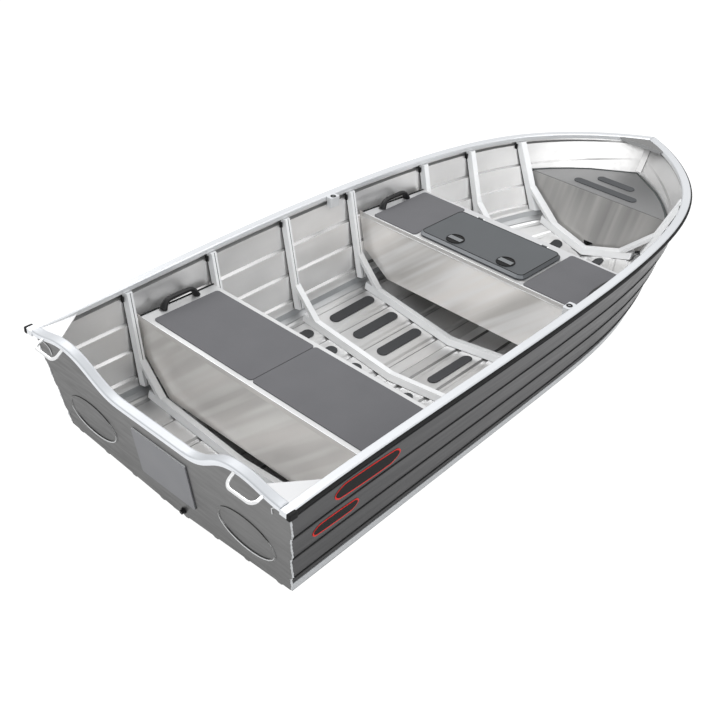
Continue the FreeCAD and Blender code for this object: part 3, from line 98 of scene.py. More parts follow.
def seen_directly(tree):
    """1 for camera, mirror and glass rays, 0 for the light that falls on surfaces."""
    path = add(tree, "LightPath")
    total = path.outputs["Is Camera Ray"]
    for name in ("Is Glossy Ray", "Is Transmission Ray"):
        total = reckon(tree, "MAXIMUM", total, path.outputs[name])
    return total


# Studio: camera, floor, sky and lamps

IMAGE_SIDE = 720
SENSOR_MM = 36.0
FOCAL_PIXELS = 1082.04
CAMERA_SHIFT = 0.00185
CAMERA_PLACE = Vector((-3.82998, -2.85006, 3.17356))
CAMERA_TURN = (55.573023, -2.371944, -46.564436)

SKY_LIGHT = 1.02
FLOOR_REACH = 30
PAPER_GLOW = 1.1
GLOW_SHARE = 0.93

# Name, place, target, width and power of each lamp
LAMPS = (
    ("key_lamp", (-1.0, 3.2, 4.6), (0, 0, 0.3), 3.0, 190),
    ("fill_lamp", (-1.2, -4.2, 2.6), (0.3, 0.7, 0.4), 3.0, 60),
    ("top_lamp", (1.5, -0.6, 5.2), (0.3, 0, 0.2), 3.5, 115),
)


def make_camera():
    """Camera at the photo's place and turn."""
    data = bpy.data.cameras.new("studio_camera")
    data.sensor_width = SENSOR_MM
    data.lens = SENSOR_MM * FOCAL_PIXELS / IMAGE_SIDE
    data.shift_x = CAMERA_SHIFT
    camera = bpy.data.objects.new("studio_camera", data)
    camera.location = CAMERA_PLACE
    camera.rotation_euler = [math.radians(turn) for turn in CAMERA_TURN]
    bpy.context.scene.collection.objects.link(camera)
    bpy.context.scene.camera = camera


def make_sky():
    """Soft cool light on the boat, plain white where the sky itself is seen."""
    world = bpy.data.worlds.new("studio_sky")
    world.use_nodes = True
    tree = world.node_tree
    tree.nodes.clear()
    soft = add(tree, "Background", Color=(0.95, 0.975, 1.0, 1), Strength=SKY_LIGHT)
    white = add(tree, "Background", Color=(1, 1, 1, 1), Strength=1.0)
    show_mix(tree, seen_directly(tree), soft, white, "OutputWorld")
    bpy.context.scene.world = world


def make_floor():
    """White paper under the keel that keeps a little of the boat's shadow."""
    mesh = bpy.data.meshes.new("studio_floor")
    shape = bmesh.new()
    bmesh.ops.create_grid(shape, x_segments=1, y_segments=1, size=FLOOR_REACH)
    bmesh.ops.translate(shape, vec=(0, 0, cad_low.z), verts=shape.verts)
    shape.to_mesh(mesh)
    shape.free()
    floor = bpy.data.objects.new("studio_floor", mesh)
    bpy.context.scene.collection.objects.link(floor)
    paper = bpy.data.materials.new("studio_paper")
    paper.use_nodes = True
    tree = paper.node_tree
    tree.nodes.clear()
    matt = add(tree, "BsdfDiffuse", Color=(0.86, 0.86, 0.86, 1))
    glow = add(tree, "Emission", Color=(1, 1, 1, 1), Strength=PAPER_GLOW)
    share = reckon(tree, "MULTIPLY", seen_directly(tree), GLOW_SHARE)
    show_mix(tree, share, matt, glow, "OutputMaterial")
    mesh.materials.append(paper)


def make_lamp(name, place, target, width, power):
    """Square soft lamp that looks at a target."""
    data = bpy.data.lights.new(name, "AREA")
    data.shape = "SQUARE"
    data.size = width
    data.energy = power
    lamp = bpy.data.objects.new(name, data)
    lamp.location = place
    aim = Vector(target) - Vector(place)
    lamp.rotation_euler = aim.to_track_quat("-Z", "Y").to_euler()
    bpy.context.scene.collection.objects.link(lamp)


make_camera()
make_sky()
make_floor()
for lamp_facts in LAMPS:
    make_lamp(*lamp_facts)
bpy.context.scene.view_settings.view_transform = "Standard"


# Finishes

OUTBOARD_LEAN = 0.12
CLOUD_TONE = 0.8
# Painted shade inside, darker towards the stern
STERN_SHADE = 0.3
STERN_SHARE = 0.22
STERN_SPAN = (-1.9, 0.9)
# Painted shade outside, darker low down
LOW_SHADE = 0.62
LOW_SPAN = (0.06, 0.46)
LINE_SHARE = 0.35
# Painted shade on the transom's outside, darker towards port
PORT_SHADE = 0.3
PORT_SHARE = 0.5
PORT_SPAN = (-0.1, 0.8)
SHEET_RELIEF = 0.00012


def coat(name, colour, metal, rough):
    """A material with its main shader set plain, ready for its grain."""
    material = bpy.data.materials.new(name)
    material.use_nodes = True
    tree = material.node_tree
    shader = tree.nodes["Principled BSDF"]
    shader.inputs["Base Color"].default_value = (*colour, 1)
    shader.inputs["Metallic"].default_value = metal
    shader.inputs["Roughness"].default_value = rough
    return material, tree, shader


def times(colour, share):
    """A colour made darker or lighter by a share, at most white."""
    return tuple(min(1.0, channel * share) for channel in colour)


def grain(tree, scale, stretch=(1, 1, 1), detail=2.0, lean=0.0):
    """Noise on the piece's own coordinates, drawn out along the axes with a small stretch."""
    place = add(tree, "TexCoord")
    mapping = add(tree, "Mapping", Scale=[1 / share for share in stretch],
                  Rotation=(math.radians(lean), 0, 0))
    mapping.vector_type = "TEXTURE"
    noise = add(tree, "TexNoise", Scale=scale, Detail=detail, Roughness=0.55)
    tree.links.new(place.outputs["Object"], mapping.inputs["Vector"])
    tree.links.new(mapping.outputs[0], noise.inputs["Vector"])
    return noise.outputs["Fac"]


def spread(tree, value, low, high, start=0.3, end=0.7):
    """A stretch of a value, from start to end, spread over the range from low to high."""
    ramp = add(tree, "MapRange", From_Min=start, From_Max=end, To_Min=low, To_Max=high)
    tree.links.new(value, ramp.inputs["Value"])
    return ramp.outputs["Result"]


def shades(tree, share, first, second):
    """A colour between two, each a plain colour or a socket."""
    mix = add(tree, "Mix")
    mix.data_type = "RGBA"
    for slot, value in ((6, first), (7, second)):
        if isinstance(value, tuple):
            mix.inputs[slot].default_value = (*value, 1)
        else:
            tree.links.new(value, mix.inputs[slot])
    tree.links.new(share, mix.inputs[0])
    return mix.outputs[2]


def relief(tree, height, depth):
    """A surface normal raised by a height socket, over a depth in metres."""
    bump = add(tree, "Bump", Strength=1.0, Distance=depth)
    tree.links.new(height, bump.inputs["Height"])
    return bump.outputs["Normal"]


def part_of(tree, socket, axis):
    """One coordinate of the piece's own place or normal."""
    place = add(tree, "TexCoord")
    split = add(tree, "SeparateXYZ")
    tree.links.new(place.outputs[socket], split.inputs[0])
    return split.outputs[axis]


def outboard(tree, axis):
    """1 where the surface looks out of the hull along Y to its side, or aft along X."""
    if axis == "Y":
        side = reckon(tree, "SIGN", part_of(tree, "Object", "Y"), 0.0)
    else:
        side = -1.0
    away = reckon(tree, "MULTIPLY", part_of(tree, "Normal", axis), side)
    return reckon(tree, "GREATER_THAN", away, OUTBOARD_LEAN)


def inner_tone(tree, inner, axis, ledge_shade):
    """Soft clouds inside the hull, with painted shade on level faces and on the sides towards the stern."""
    cloud = spread(tree, grain(tree, 2.6, (0.6, 1, 1)), 0, 1, 0.36, 0.62)
    tone = shades(tree, cloud, times(inner, CLOUD_TONE), inner)
    # Painted shade: faces that look upwards are darkened by the ledge share
    level = spread(tree, part_of(tree, "Normal", "Z"), 0, 1, 0.25, 0.6)
    tone = shades(tree, level, tone, times(inner, ledge_shade))
    if axis == "Y":
        # Painted shade on the inner sides, darker towards the stern
        aft = spread(tree, part_of(tree, "Object", "X"), STERN_SHARE, 0, *STERN_SPAN)
        tone = shades(tree, aft, tone, times(inner, STERN_SHADE))
    return tone


def outer_tone(tree, outer, draw, axis, mark):
    """Rolling lines outside, with painted shade low down and, on the transom, towards port."""
    # Painted shade: darker low down
    height = spread(tree, part_of(tree, "Object", "Z"), 0, 1, *LOW_SPAN)
    lines = spread(tree, grain(tree, 26, draw), 0, 1)
    tone = shades(tree, height, times(outer, LOW_SHADE), outer)
    worn = shades(tree, lines, times(outer, mark), tone)
    tone = shades(tree, reckon(tree, "MULTIPLY", lines, LINE_SHARE), tone, worn)
    if axis == "X":
        # Painted shade: the transom's outside darker towards port
        port = spread(tree, part_of(tree, "Object", "Y"), 0, PORT_SHARE, *PORT_SPAN)
        tone = shades(tree, port, tone, times(outer, PORT_SHADE))
    return tone


def sheet_metal(name, inner, outer, draw, axis="Y", ledge_shade=1.0, mark=0.8):
    """Rolled sheet with its rolling lines drawn along it, bright inside, with painted shade outside: its
    outer faces take a far darker colour.
    """
    material, tree, shader = coat(name, inner, 0.3, 0.5)
    # Painted shade: faces that look out of the hull get the dark outer colour
    outside_shade_mask = outboard(tree, axis)
    within = inner_tone(tree, inner, axis, ledge_shade)
    without = outer_tone(tree, outer, draw, axis, mark)
    rolling = grain(tree, 60, draw)
    feed(tree, shader,
         Base_Color=shades(tree, outside_shade_mask, within, without),
         Metallic=spread(tree, outside_shade_mask, 0.8, 0.92, 0, 1),
         Roughness=spread(tree, rolling, 0.30, 0.42),
         Normal=relief(tree, rolling, SHEET_RELIEF))
    return material


def panel_metal(name, light, dark, lean):
    """Bright folded panel with soft streaks, leaning by some degrees, painted in as reflections of its mirror
    finish.
    """
    material, tree, shader = coat(name, light, 0.5, 0.34)
    # Painted reflections: broad darker streaks and fine brighter ones
    broad = spread(tree, grain(tree, 4.0, (1.0, 1.0, 0.2), 1.0, lean), 0, 1, 0.36, 0.6)
    fine = spread(tree, grain(tree, 22, (1.0, 1.0, 0.05), 1.0, lean), 0, 0.5, 0.42, 0.65)
    tone = shades(tree, broad, dark, light)
    feed(tree, shader, Base_Color=shades(tree, fine, tone, times(light, 1.15)))
    return material


def trim_metal(name, light, rough, metal=0.5, upright_painted_light=None):
    """Extruded or pressed trim: near even, with faint marks, and painted light or shade on its upright faces,
    which take a tone of their own.
    """
    material, tree, shader = coat(name, light, metal, rough)
    marks = spread(tree, grain(tree, 2.4, (0.5, 1, 1), 1.0), 0, 1)
    tone = shades(tree, marks, times(light, 0.94), light)
    # Painted light and shade: upright faces lighter or darker than level ones
    if upright_painted_light is not None:
        level = spread(tree, part_of(tree, "Normal", "Z"), 0, 1, 0.3, 0.7)
        tone = shades(tree, level, upright_painted_light, tone)
    wear = spread(tree, grain(tree, 6, (0.3, 1, 1), 1.0), rough - 0.03, rough + 0.04)
    feed(tree, shader, Base_Color=tone, Roughness=wear)
    return material


def moulded(name, light, rough, pebble, depth):
    """Plastic or rubber with a fine pebbled skin."""
    material, tree, shader = coat(name, light, 0.0, rough)
    cloud = spread(tree, grain(tree, 7), 0, 1)
    skin = grain(tree, pebble)
    feed(tree, shader,
         Base_Color=shades(tree, cloud, times(light, 0.93), light),
         Roughness=spread(tree, skin, rough - 0.05, rough + 0.07),
         Normal=relief(tree, skin, depth))
    return material


def even(name, colour, rough, metal=0.0, shine=0.5):
    """One plain tone, for thin lines and very small parts."""
    material, tree, shader = coat(name, colour, metal, rough)
    shader.inputs["Specular IOR Level"].default_value = shine
    return material


ALONG = (0.04, 1, 1)
ACROSS = (1, 0.12, 1)

# The outer colours below are painted shade, far darker than the inner ones
side_metal = sheet_metal("side_plate_metal", (0.95, 0.945, 0.94), (0.078, 0.078, 0.08),
                         ALONG, ledge_shade=0.36)
bottom_metal = sheet_metal("bottom_plate_metal", (0.56, 0.56, 0.56), (0.3, 0.3, 0.3),
                           ALONG, ledge_shade=0.9)
transom_metal = sheet_metal("transom_metal", (0.7, 0.7, 0.7), (0.152, 0.152, 0.151),
                            ACROSS, "X", mark=0.94)

panel_bright = panel_metal("mid_panel_metal", (0.97, 0.935, 0.9), (0.58, 0.56, 0.535), 49)
panel_soft = panel_metal("aft_panel_metal", (0.90, 0.865, 0.83), (0.68, 0.655, 0.63), 49)
panel_dull = panel_metal("bow_panel_metal", (0.50, 0.49, 0.475), (0.30, 0.295, 0.29), 12)

seat_metal = trim_metal("seat_top_metal", (0.50, 0.50, 0.505), 0.36,
                        upright_painted_light=(0.60, 0.585, 0.57))
seat_warm = trim_metal("aft_seat_metal", (0.52, 0.52, 0.52), 0.36,
                       upright_painted_light=(0.80, 0.77, 0.74))
trim_bright = trim_metal("gunwale_metal", (0.53, 0.54, 0.555), 0.34,
                         upright_painted_light=(0.70, 0.71, 0.72))
chine_metal = trim_metal("chine_metal", (0.42, 0.425, 0.43), 0.34,
                         upright_painted_light=(0.36, 0.37, 0.38))
cap_bright = trim_metal("cap_metal", (0.40, 0.41, 0.425), 0.44, 0.2,
                        upright_painted_light=(0.74, 0.75, 0.77))
frame_bright = trim_metal("frame_metal", (0.66, 0.665, 0.67), 0.4, 0.35,
                          upright_painted_light=(0.84, 0.845, 0.85))
rod_bright = trim_metal("polished_rod_metal", (0.76, 0.76, 0.76), 0.25, 0.6)
bow_metal = trim_metal("bow_box_metal", (0.195, 0.195, 0.195), 0.36)
knee_metal = trim_metal("breasthook_metal", (0.155, 0.153, 0.15), 0.4,
                        upright_painted_light=(0.36, 0.36, 0.36))
pad_metal = trim_metal("motor_pad_metal", (0.7, 0.7, 0.7), 0.5, 0.1,
                       upright_painted_light=(0.175, 0.175, 0.183))

mat_grey = moulded("grip_mat_foam", (0.084, 0.083, 0.088), 0.9, 700, 0.0003)
pad_grey = moulded("floor_pad_rubber", (0.022, 0.023, 0.025), 0.8, 700, 0.0003)
bow_pad_grey = moulded("bow_mat_rubber", (0.045, 0.047, 0.05), 0.8, 700, 0.0003)
hatch_grey = moulded("hatch_moulding", (0.043, 0.047, 0.051), 0.45, 900, 0.00015)
# Lighter grey for the painted highlight on the lid's aft bevel
hatch_bevel_highlight = moulded("hatch_bevel_highlight_moulding", (0.105, 0.112, 0.12), 0.45, 900, 0.00015)

handle_black = even("handle_moulding", (0.006, 0.006, 0.0065), 0.45, shine=0.3)
rub_black = even("rub_rubber", (0.011, 0.011, 0.011), 0.6, shine=0.1)
# Near black: painted shade in seams, gaps and rib heads, and the black of the latches and other thin dark
# lines
shade_and_black = even("painted_shade_and_black", (0.015, 0.015, 0.015), 0.8, shine=0.1)
lap_shade = even("lap_shadow_grey", (0.03, 0.03, 0.03), 0.7, shine=0.15)
sealant = even("sealant_grey", (0.045, 0.05, 0.05), 0.7, shine=0.2)
# Bright metal for painted highlights on the lip folds and oval crests, and for the pressed corner beads
highlight_and_bead = even("painted_highlight_and_bead_metal", (0.62, 0.62, 0.62), 0.35, 0.4)
# Grey for the painted groove shade on the ribs and for the latches' own grips
groove_shade_and_grip = even("groove_shade_and_grip_grey", (0.11, 0.115, 0.12), 0.45)
weld_bright = even("weld_metal", (0.5, 0.51, 0.52), 0.36, 0.8)
decal_dark = even("decal_black", (0.012, 0.011, 0.011), 0.6, shine=0.1)
decal_red = even("decal_red", (0.5, 0.02, 0.016), 0.5, shine=0.1)

# Each finish with the starts of the names of the solids that wear it
FINISHES = (
    (side_metal, ("side_sheet_", "stem_backing")),
    (bottom_metal, ("bottom_sheet_",)),
    (transom_metal, ("transom_plate",)),
    (panel_bright, ("mid_thwart_aft_panel", "mid_thwart_fore_panel", "locker_bin")),
    (panel_soft, ("aft_thwart_aft_panel", "aft_thwart_fore_panel")),
    (panel_dull, ("bow_box_face",)),
    (seat_warm, ("aft_thwart_top",)),
    (seat_metal, ("mid_thwart_top", "corner_gusset_", "hatch_frame")),
    (bow_metal, ("bow_box_top",)),
    (knee_metal, ("breasthook",)),
    (cap_bright, ("transom_cap",)),
    (trim_bright, ("gunwale_", "rowlock_socket_")),
    (chine_metal, ("chine_rail_", "keel_bar")),
    (frame_bright, ("side_ribs_", "floor_frames", "chine_brackets_", "hinge_seats")),
    (rod_bright, ("lifting_handle_", "bow_eye")),
    (pad_metal, ("motor_pad",)),
    (mat_grey, ("aft_mat_", "mid_mat_")),
    (pad_grey, ("floor_pads_",)),
    (bow_pad_grey, ("bow_mat_",)),
    (hatch_grey, ("hatch_lid", "lid_knuckles", "lid_latches")),
    (handle_black, ("aft_grab_handle_", "mid_grab_handle_", "drain_bung")),
    (rub_black, ("rub_strip_",)),
)

for material, starts in FINISHES:
    for name, piece in nodes.items():
        if name.startswith(starts):
            piece.data.materials.clear()
            piece.data.materials.append(material)


LATCH_RIM = 0.008
LATCH_STEP = 0.004
BEVEL_AFT = 0.35
BEVEL_FLAT = 0.96
BEVEL_STEEP = 0.3


def latch_dishes():
    """Radius and foot of the two latch dishes, and their middles."""
    low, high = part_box("lid_latches")
    radius = (high[0] - low[0]) / 2
    across = (low[0] + high[0]) / 2
    middles = [(across, y) for y in (low[1] + radius, high[1] - radius)]
    return radius, low[2], middles


def tone_latches():
    """Black latches, their grips in the lid's grey."""
    mesh = nodes["lid_latches"].data
    radius, foot, middles = latch_dishes()
    mesh.materials.clear()
    mesh.materials.append(shade_and_black)
    mesh.materials.append(groove_shade_and_grip)
    for face in mesh.polygons:
        away = min(math.hypot(face.center.x - x, face.center.y - y) for x, y in middles)
        raised = face.center.z > foot + LATCH_STEP
        face.material_index = int(away < radius - LATCH_RIM and raised)


def tone_lid():
    """Painted highlight: a lighter tone on the bevel along the lid's aft edge."""
    mesh = nodes["hatch_lid"].data
    mesh.materials.append(hatch_bevel_highlight)
    for face in mesh.polygons:
        slanted = BEVEL_STEEP < face.normal.z < BEVEL_FLAT
        face.material_index = int(face.normal.x < -BEVEL_AFT and slanted)


tone_latches()
tone_lid()


# Tools for small fittings and lines that the solids leave out, all lengths in metres

SIDES = ((1, "port"), (-1, "starboard"))
FINE_LINE = 0.0018
LONG_EDGE = 0.1
WELDED = 1e-5

# How far a face looks along an axis, from 0 for sideways to 1 for straight
FACING = 0.9
TURNED = 0.5
LEANING = 0.3


def settle(name, mesh, finish, body="hull"):
    """A finished mesh shown on a body."""
    mesh.materials.clear()
    mesh.materials.append(finish)
    piece = bpy.data.objects.new(name, mesh)
    bpy.context.scene.collection.objects.link(piece)
    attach(piece, body)
    return piece


def as_mesh(name, shape):
    """The mesh of a shape, its faces turned outwards."""
    mesh = bpy.data.meshes.new(name)
    bmesh.ops.recalc_face_normals(shape, faces=shape.faces)
    shape.to_mesh(mesh)
    shape.free()
    return mesh


def joined(name, shapes):
    """One mesh from several shapes."""
    whole = bmesh.new()
    for shape in shapes:
        mesh = as_mesh(name, shape)
        whole.from_mesh(mesh)
        bpy.data.meshes.remove(mesh)
    return as_mesh(name, whole)


def tube(name, chains, radius, finish, body="hull"):
    """Round bead along chains of points, each with its share of the radius."""
    data = bpy.data.curves.new(name, "CURVE")
    data.dimensions = "3D"
    data.bevel_depth = radius
    data.bevel_resolution = 2
    data.use_fill_caps = True
    for chain in chains:
        line = data.splines.new("POLY")
        line.points.add(len(chain) - 1)
        for knot, (point, share) in zip(line.points, chain):
            knot.co = (*point, 1)
            knot.radius = share
    drawn = bpy.data.objects.new(name, data)
    mesh = bpy.data.meshes.new_from_object(drawn)
    bpy.data.objects.remove(drawn)
    bpy.data.curves.remove(data)
    mesh.name = name
    for face in mesh.polygons:
        face.use_smooth = True
    return settle(name, mesh, finish, body)


def plain(points, shift=(0, 0, 0)):
    """A chain of the full radius, moved aside by a shift."""
    return [(point + Vector(shift), 1.0) for point in points]


def merged(node):
    """The welded mesh of a solid, in which its edges can be told."""
    shape = bmesh.new()
    shape.from_mesh(nodes[node].data)
    bmesh.ops.remove_doubles(shape, verts=shape.verts, dist=WELDED)
    shape.normal_update()
    return shape


def face_finder(node):
    """A solid's faces, ready to tell where a straight line meets them."""
    shape = merged(node)
    tree = BVHTree.FromBMesh(shape)
    shape.free()
    return tree


def runs(node, wanted, least=0.0):
    """Chains of the edges of a solid that a test on their two faces picks, longer than least."""
    shape = merged(node)
    left = {}
    for edge in shape.edges:
        if len(edge.link_faces) == 2 and wanted(edge, [face.normal for face in edge.link_faces]):
            left[edge] = True
    chains = []
    while left:
        first = next(iter(left))
        del left[first]
        chain = list(first.verts)
        for flip in (False, True):
            if flip:
                chain.reverse()
            while True:
                after = next((edge for edge in chain[-1].link_edges if edge in left), None)
                if after is None:
                    break
                del left[after]
                chain.append(after.other_vert(chain[-1]))
        chains.append([vert.co.copy() for vert in chain])
    shape.free()
    if least:
        chains = [chain for chain in chains if (chain[0] - chain[-1]).length > least]
    return chains


def bevelled_box(low, high, radius):
    """Box between two corners with rounded edges."""
    shape = bmesh.new()
    bmesh.ops.create_cube(shape, size=1)
    span = Vector(high) - Vector(low)
    middle = (Vector(high) + Vector(low)) / 2
    for vert in shape.verts:
        vert.co = middle + Vector([c * s for c, s in zip(vert.co, span)])
    bmesh.ops.bevel(shape, geom=shape.edges[:], offset=radius, segments=3, profile=0.5,
                    affect="EDGES", material=-1)
    return shape


# Shadows at the plank laps, corner welds and painted shade in the seam under the transom's cap

LAP_RADIUS = 0.0026
LAP_OUT = 0.0018
LAP_DOWN = 0.0012
LAP_END = 1.15
LAP_FADE = 0.5
LAP_THINNEST = 0.15
LAP_LEAST = 0.08
LAP_LEDGE = 0.6
LAP_PLANK = 0.35
SEAM_LEVEL = 0.42
WELD_RADIUS = 0.0046
WELD_STEP = 0.006
WELD_LEAST = 0.02
WELD_AFT = 0.001
WELD_OUT = 0.003
WELD_END = 0.8
WELD_BODY = 0.78

# Size and pace of the waves in the weld's thickness and in its place
WELD_SWELLS = ((0.22, 1.9), (0.12, 0.7))
WELD_DRIFTS = ((0.0018, 0.83), (0.0022, 0.31))


def lap_edge(side):
    """Edges where a plank's outer face turns in to the ledge under it."""
    def wanted(edge, normals):
        under, over = sorted(edge.link_faces, key=lambda face: face.calc_center_median().z)
        plank = over.normal.y * side > LAP_PLANK and over.normal.z > -LAP_LEDGE
        return under.normal.z < -LAP_LEDGE and plank
    return wanted


def lap_shadows(side, word):
    """Shadows just outside the laps of a side, thinner over their last half metre forward."""
    shift = Vector((0, side * LAP_OUT, -LAP_DOWN))
    chains = []
    for lap in runs(f"side_sheet_{word}", lap_edge(side), LAP_LEAST):
        kept = [point + shift for point in lap if point.x < LAP_END]
        shares = [min(1.0, LAP_THINNEST + (LAP_END - point.x) / LAP_FADE) for point in kept]
        if len(kept) > 1:
            chains.append(list(zip(kept, shares)))
    return chains


def seam_edge(edge, normals):
    """Top edge of the transom's outer face, under its cap."""
    high = min(vert.co.z for vert in edge.verts) > SEAM_LEVEL
    outer = any(normal.x < -FACING for normal in normals)
    return high and outer and any(normal.z > LEANING for normal in normals)


def weld_edge(side):
    """Aft end of a side sheet's outer face."""
    def wanted(edge, normals):
        aft = any(normal.x < -WELD_END for normal in normals)
        return aft and any(normal.y * side > LEANING or normal.z < -TURNED for normal in normals)
    return wanted


def waves(number, pairs):
    """A sum of waves, each of a size and a pace."""
    return sum(size * math.sin(number * pace) for size, pace in pairs)


def weld_bead(chains, side):
    """One bead down all the chains, with the swell of a hand weld and the laps smoothed out."""
    knots = sorted((point for chain in chains for point in chain), key=lambda point: -point.z)
    raw = []
    for first, second in zip(knots, knots[1:]):
        count = max(1, int((second - first).length / WELD_STEP))
        raw += [first.lerp(second, number / count) for number in range(count)]
    bead = []
    for number in range(len(raw)):
        near = raw[max(0, number - 2):number + 3]
        point = sum(near, Vector()) / len(near)
        drift = waves(number, WELD_DRIFTS)
        away = Vector((drift - WELD_AFT, drift + side * WELD_OUT, 0))
        bead.append((point + away, WELD_BODY + waves(number, WELD_SWELLS)))
    return bead


for side, word in SIDES:
    tube(f"lap_lines_{word}", lap_shadows(side, word), LAP_RADIUS, lap_shade)
    ends = runs(f"side_sheet_{word}", weld_edge(side), WELD_LEAST)
    tube(f"corner_weld_{word}", [weld_bead(ends, side)], WELD_RADIUS, weld_bright)
# Painted shade: a dark line in the seam under the transom's cap
seam_shades = [plain(chain) for chain in runs("transom_plate", seam_edge, LONG_EDGE)]
tube("cap_seam_shade", seam_shades, FINE_LINE, shade_and_black)


# Painted highlights along the seats' aft lips and painted shade in the gaps at the seats' ends

# Depths below each seat's top of the bright lines painted as highlights on the lip
FOLD_HIGHLIGHTS = (("aft_thwart", (0.0012,)), ("mid_thwart", (0.0012, 0.0248)))
FOLD_INSET = 0.012
FOLD_SINK = 0.0006
GAP_RADIUS = 0.0065
GAP_REACH = 0.12
GAP_INSET = 0.003
GAP_DOWN = 0.002


def lip_highlights(node, depths):
    """Painted highlights where a seat's aft lip is folded, at depths below its top."""
    low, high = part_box(node)
    reach = high[1] - FOLD_INSET
    aft = low[0] + FOLD_SINK
    levels = [high[2] - drop for drop in depths]
    return [plain([Vector((aft, -reach, z)), Vector((aft, reach, z))]) for z in levels]


def end_gap_shades(node):
    """Painted shade: dark lines in the gaps between the ends of a seat's top and the sides."""
    def wanted(edge, normals):
        up = any(normal.z > FACING for normal in normals)
        return up and any(abs(normal.y) > TURNED and abs(normal.z) < LEANING for normal in normals)
    chains = []
    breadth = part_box(node)[1][1]
    for chain in runs(node, wanted, LONG_EDGE):
        if min(abs(point.y) for point in chain) > breadth - GAP_REACH:
            inward = -math.copysign(GAP_INSET, chain[0].y)
            chains.append(plain(chain, (0, inward, -GAP_DOWN)))
    return chains


for name, depths in FOLD_HIGHLIGHTS:
    tube(f"{name}_fold_highlights", lip_highlights(f"{name}_top", depths), FINE_LINE, highlight_and_bead)
for name in ("aft_thwart", "mid_thwart"):
    tube(f"{name}_end_gap_shades", end_gap_shades(f"{name}_top"), GAP_RADIUS, shade_and_black)


# Shadow lines and painted groove shade on the ribs

RIB_SHADOW = 0.0020
GROOVE_FORWARD = 0.017


def rib_edge(side, inward):
    """Edges of a rib's aft face, at its free side or else at the plate."""
    way = -side if inward else side

    def wanted(edge, normals):
        aft = any(normal.x < -FACING for normal in normals)
        return aft and any(normal.y * way > LEANING and abs(normal.x) < TURNED for normal in normals)
    return wanted


for side, word in SIDES:
    foot = [plain(chain) for chain in runs(f"side_ribs_{word}", rib_edge(side, False), LONG_EDGE)]
    tube(f"rib_shadows_{word}", foot, RIB_SHADOW, lap_shade)
    # Painted shade: a grey line down each rib's inner face, just forward of its aft edge
    free = runs(f"side_ribs_{word}", rib_edge(side, True), LONG_EDGE)
    grooves = [plain(chain, (GROOVE_FORWARD, 0, 0)) for chain in free]
    tube(f"rib_groove_shades_{word}", grooves, FINE_LINE, groove_shade_and_grip)


# Rim line of the lid and sealant round the bow box

RIM_SPAN = 0.3
RIM_DEPTH = 0.003
RIM_FLAT = 0.995
SEAL_RADIUS = 0.0078
SEAL_OUT = 0.0045
SEAL_DOWN = 0.003
SEAL_SIDE = 0.15
SEAL_MIDDLE = 0.001


def lid_rims():
    """Rim of the lid's flat top, where its bevel starts."""
    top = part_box("hatch_lid")[1][2]

    def wanted(edge, normals):
        high = all(vert.co.z > top - RIM_DEPTH for vert in edge.verts)
        flat = any(normal.z > RIM_FLAT for normal in normals)
        return high and flat and any(BEVEL_STEEP < normal.z < BEVEL_FLAT for normal in normals)
    rims = []
    for chain in runs("hatch_lid", wanted):
        if max((point - chain[0]).length for point in chain) > RIM_SPAN:
            rims.append(plain(chain + chain[:1]))
    return rims


def box_seal():
    """Sealant in the gap between the bow box's top and the sides."""
    def wanted(edge, normals):
        up = any(normal.z > FACING for normal in normals)
        return up and any(abs(normal.y) > SEAL_SIDE for normal in normals)
    chains = []
    for chain in runs("bow_box_top", wanted):
        points = []
        for point in chain:
            away = math.copysign(SEAL_OUT, point.y) if abs(point.y) > SEAL_MIDDLE else 0
            points.append(point + Vector((0, away, -SEAL_DOWN)))
        chains.append(plain(points))
    return chains


tube("lid_rim_line", lid_rims(), FINE_LINE, shade_and_black, "lid")
tube("bow_box_seal", box_seal(), SEAL_RADIUS, sealant)


# Painted shade: dark blocks at the mouths beside the ribs' heads

HEAD_REACH = 0.06
MOUTH_INNER = 0.022
MOUTH_OUTER = 0.0085
MOUTH_DROP = 0.012
MOUTH_TALL = 0.030
MOUTH_LONG = 0.013
MOUTH_GAP = 0.001
MOUTH_ROUND = 0.003


def loose_parts(shape):
    """Places of the vertices of each loose part of a shape."""
    seen = set()
    parts = []
    for first in shape.verts:
        if first in seen:
            continue
        seen.add(first)
        part = [first]
        for vert in part:
            for edge in vert.link_edges:
                other = edge.other_vert(vert)
                if other not in seen:
                    seen.add(other)
                    part.append(other)
        parts.append([vert.co.copy() for vert in part])
    return parts


def rib_heads(node):
    """Box round the top of each rib of a side: lowest and highest corner."""
    shape = merged(node)
    heads = []
    for places in loose_parts(shape):
        top = max(place.z for place in places)
        near = [place for place in places if place.z > top - HEAD_REACH]
        heads.append([[pick(place[axis] for place in near) for axis in range(3)]
                      for pick in (min, max)])
    shape.free()
    return heads


def rib_head_shade(side, low, high):
    """Small dark block of painted shade at the aft face of a rib's head, clear of the plate outboard."""
    outer = high[1] if side > 0 else low[1]
    near, far = sorted((outer - side * MOUTH_INNER, outer - side * MOUTH_OUTER))
    top = high[2] - MOUTH_DROP
    aft = low[0] - MOUTH_GAP
    foot = (aft - MOUTH_LONG, near, top - MOUTH_TALL)
    return bevelled_box(foot, (aft, far, top), MOUTH_ROUND)


for side, word in SIDES:
    mouths = [rib_head_shade(side, low, high) for low, high in rib_heads(f"side_ribs_{word}")]
    settle(f"rib_head_shades_{word}", joined(f"rib_head_shades_{word}", mouths), shade_and_black)


# Grab handles

GRIP_RADIUS = 0.0135
GRIP_BREADTH = 1.3
GRIP_POINTS = 45
GRIP_TURN = 4.0909
GRIP_INSET = 0.014
GRIP_DROP = 0.013
GRIP_LIFT = 0.002
GRIP_THIN = 0.80
GRIP_FOOT = 0.55
GRIP_SPREAD = 6


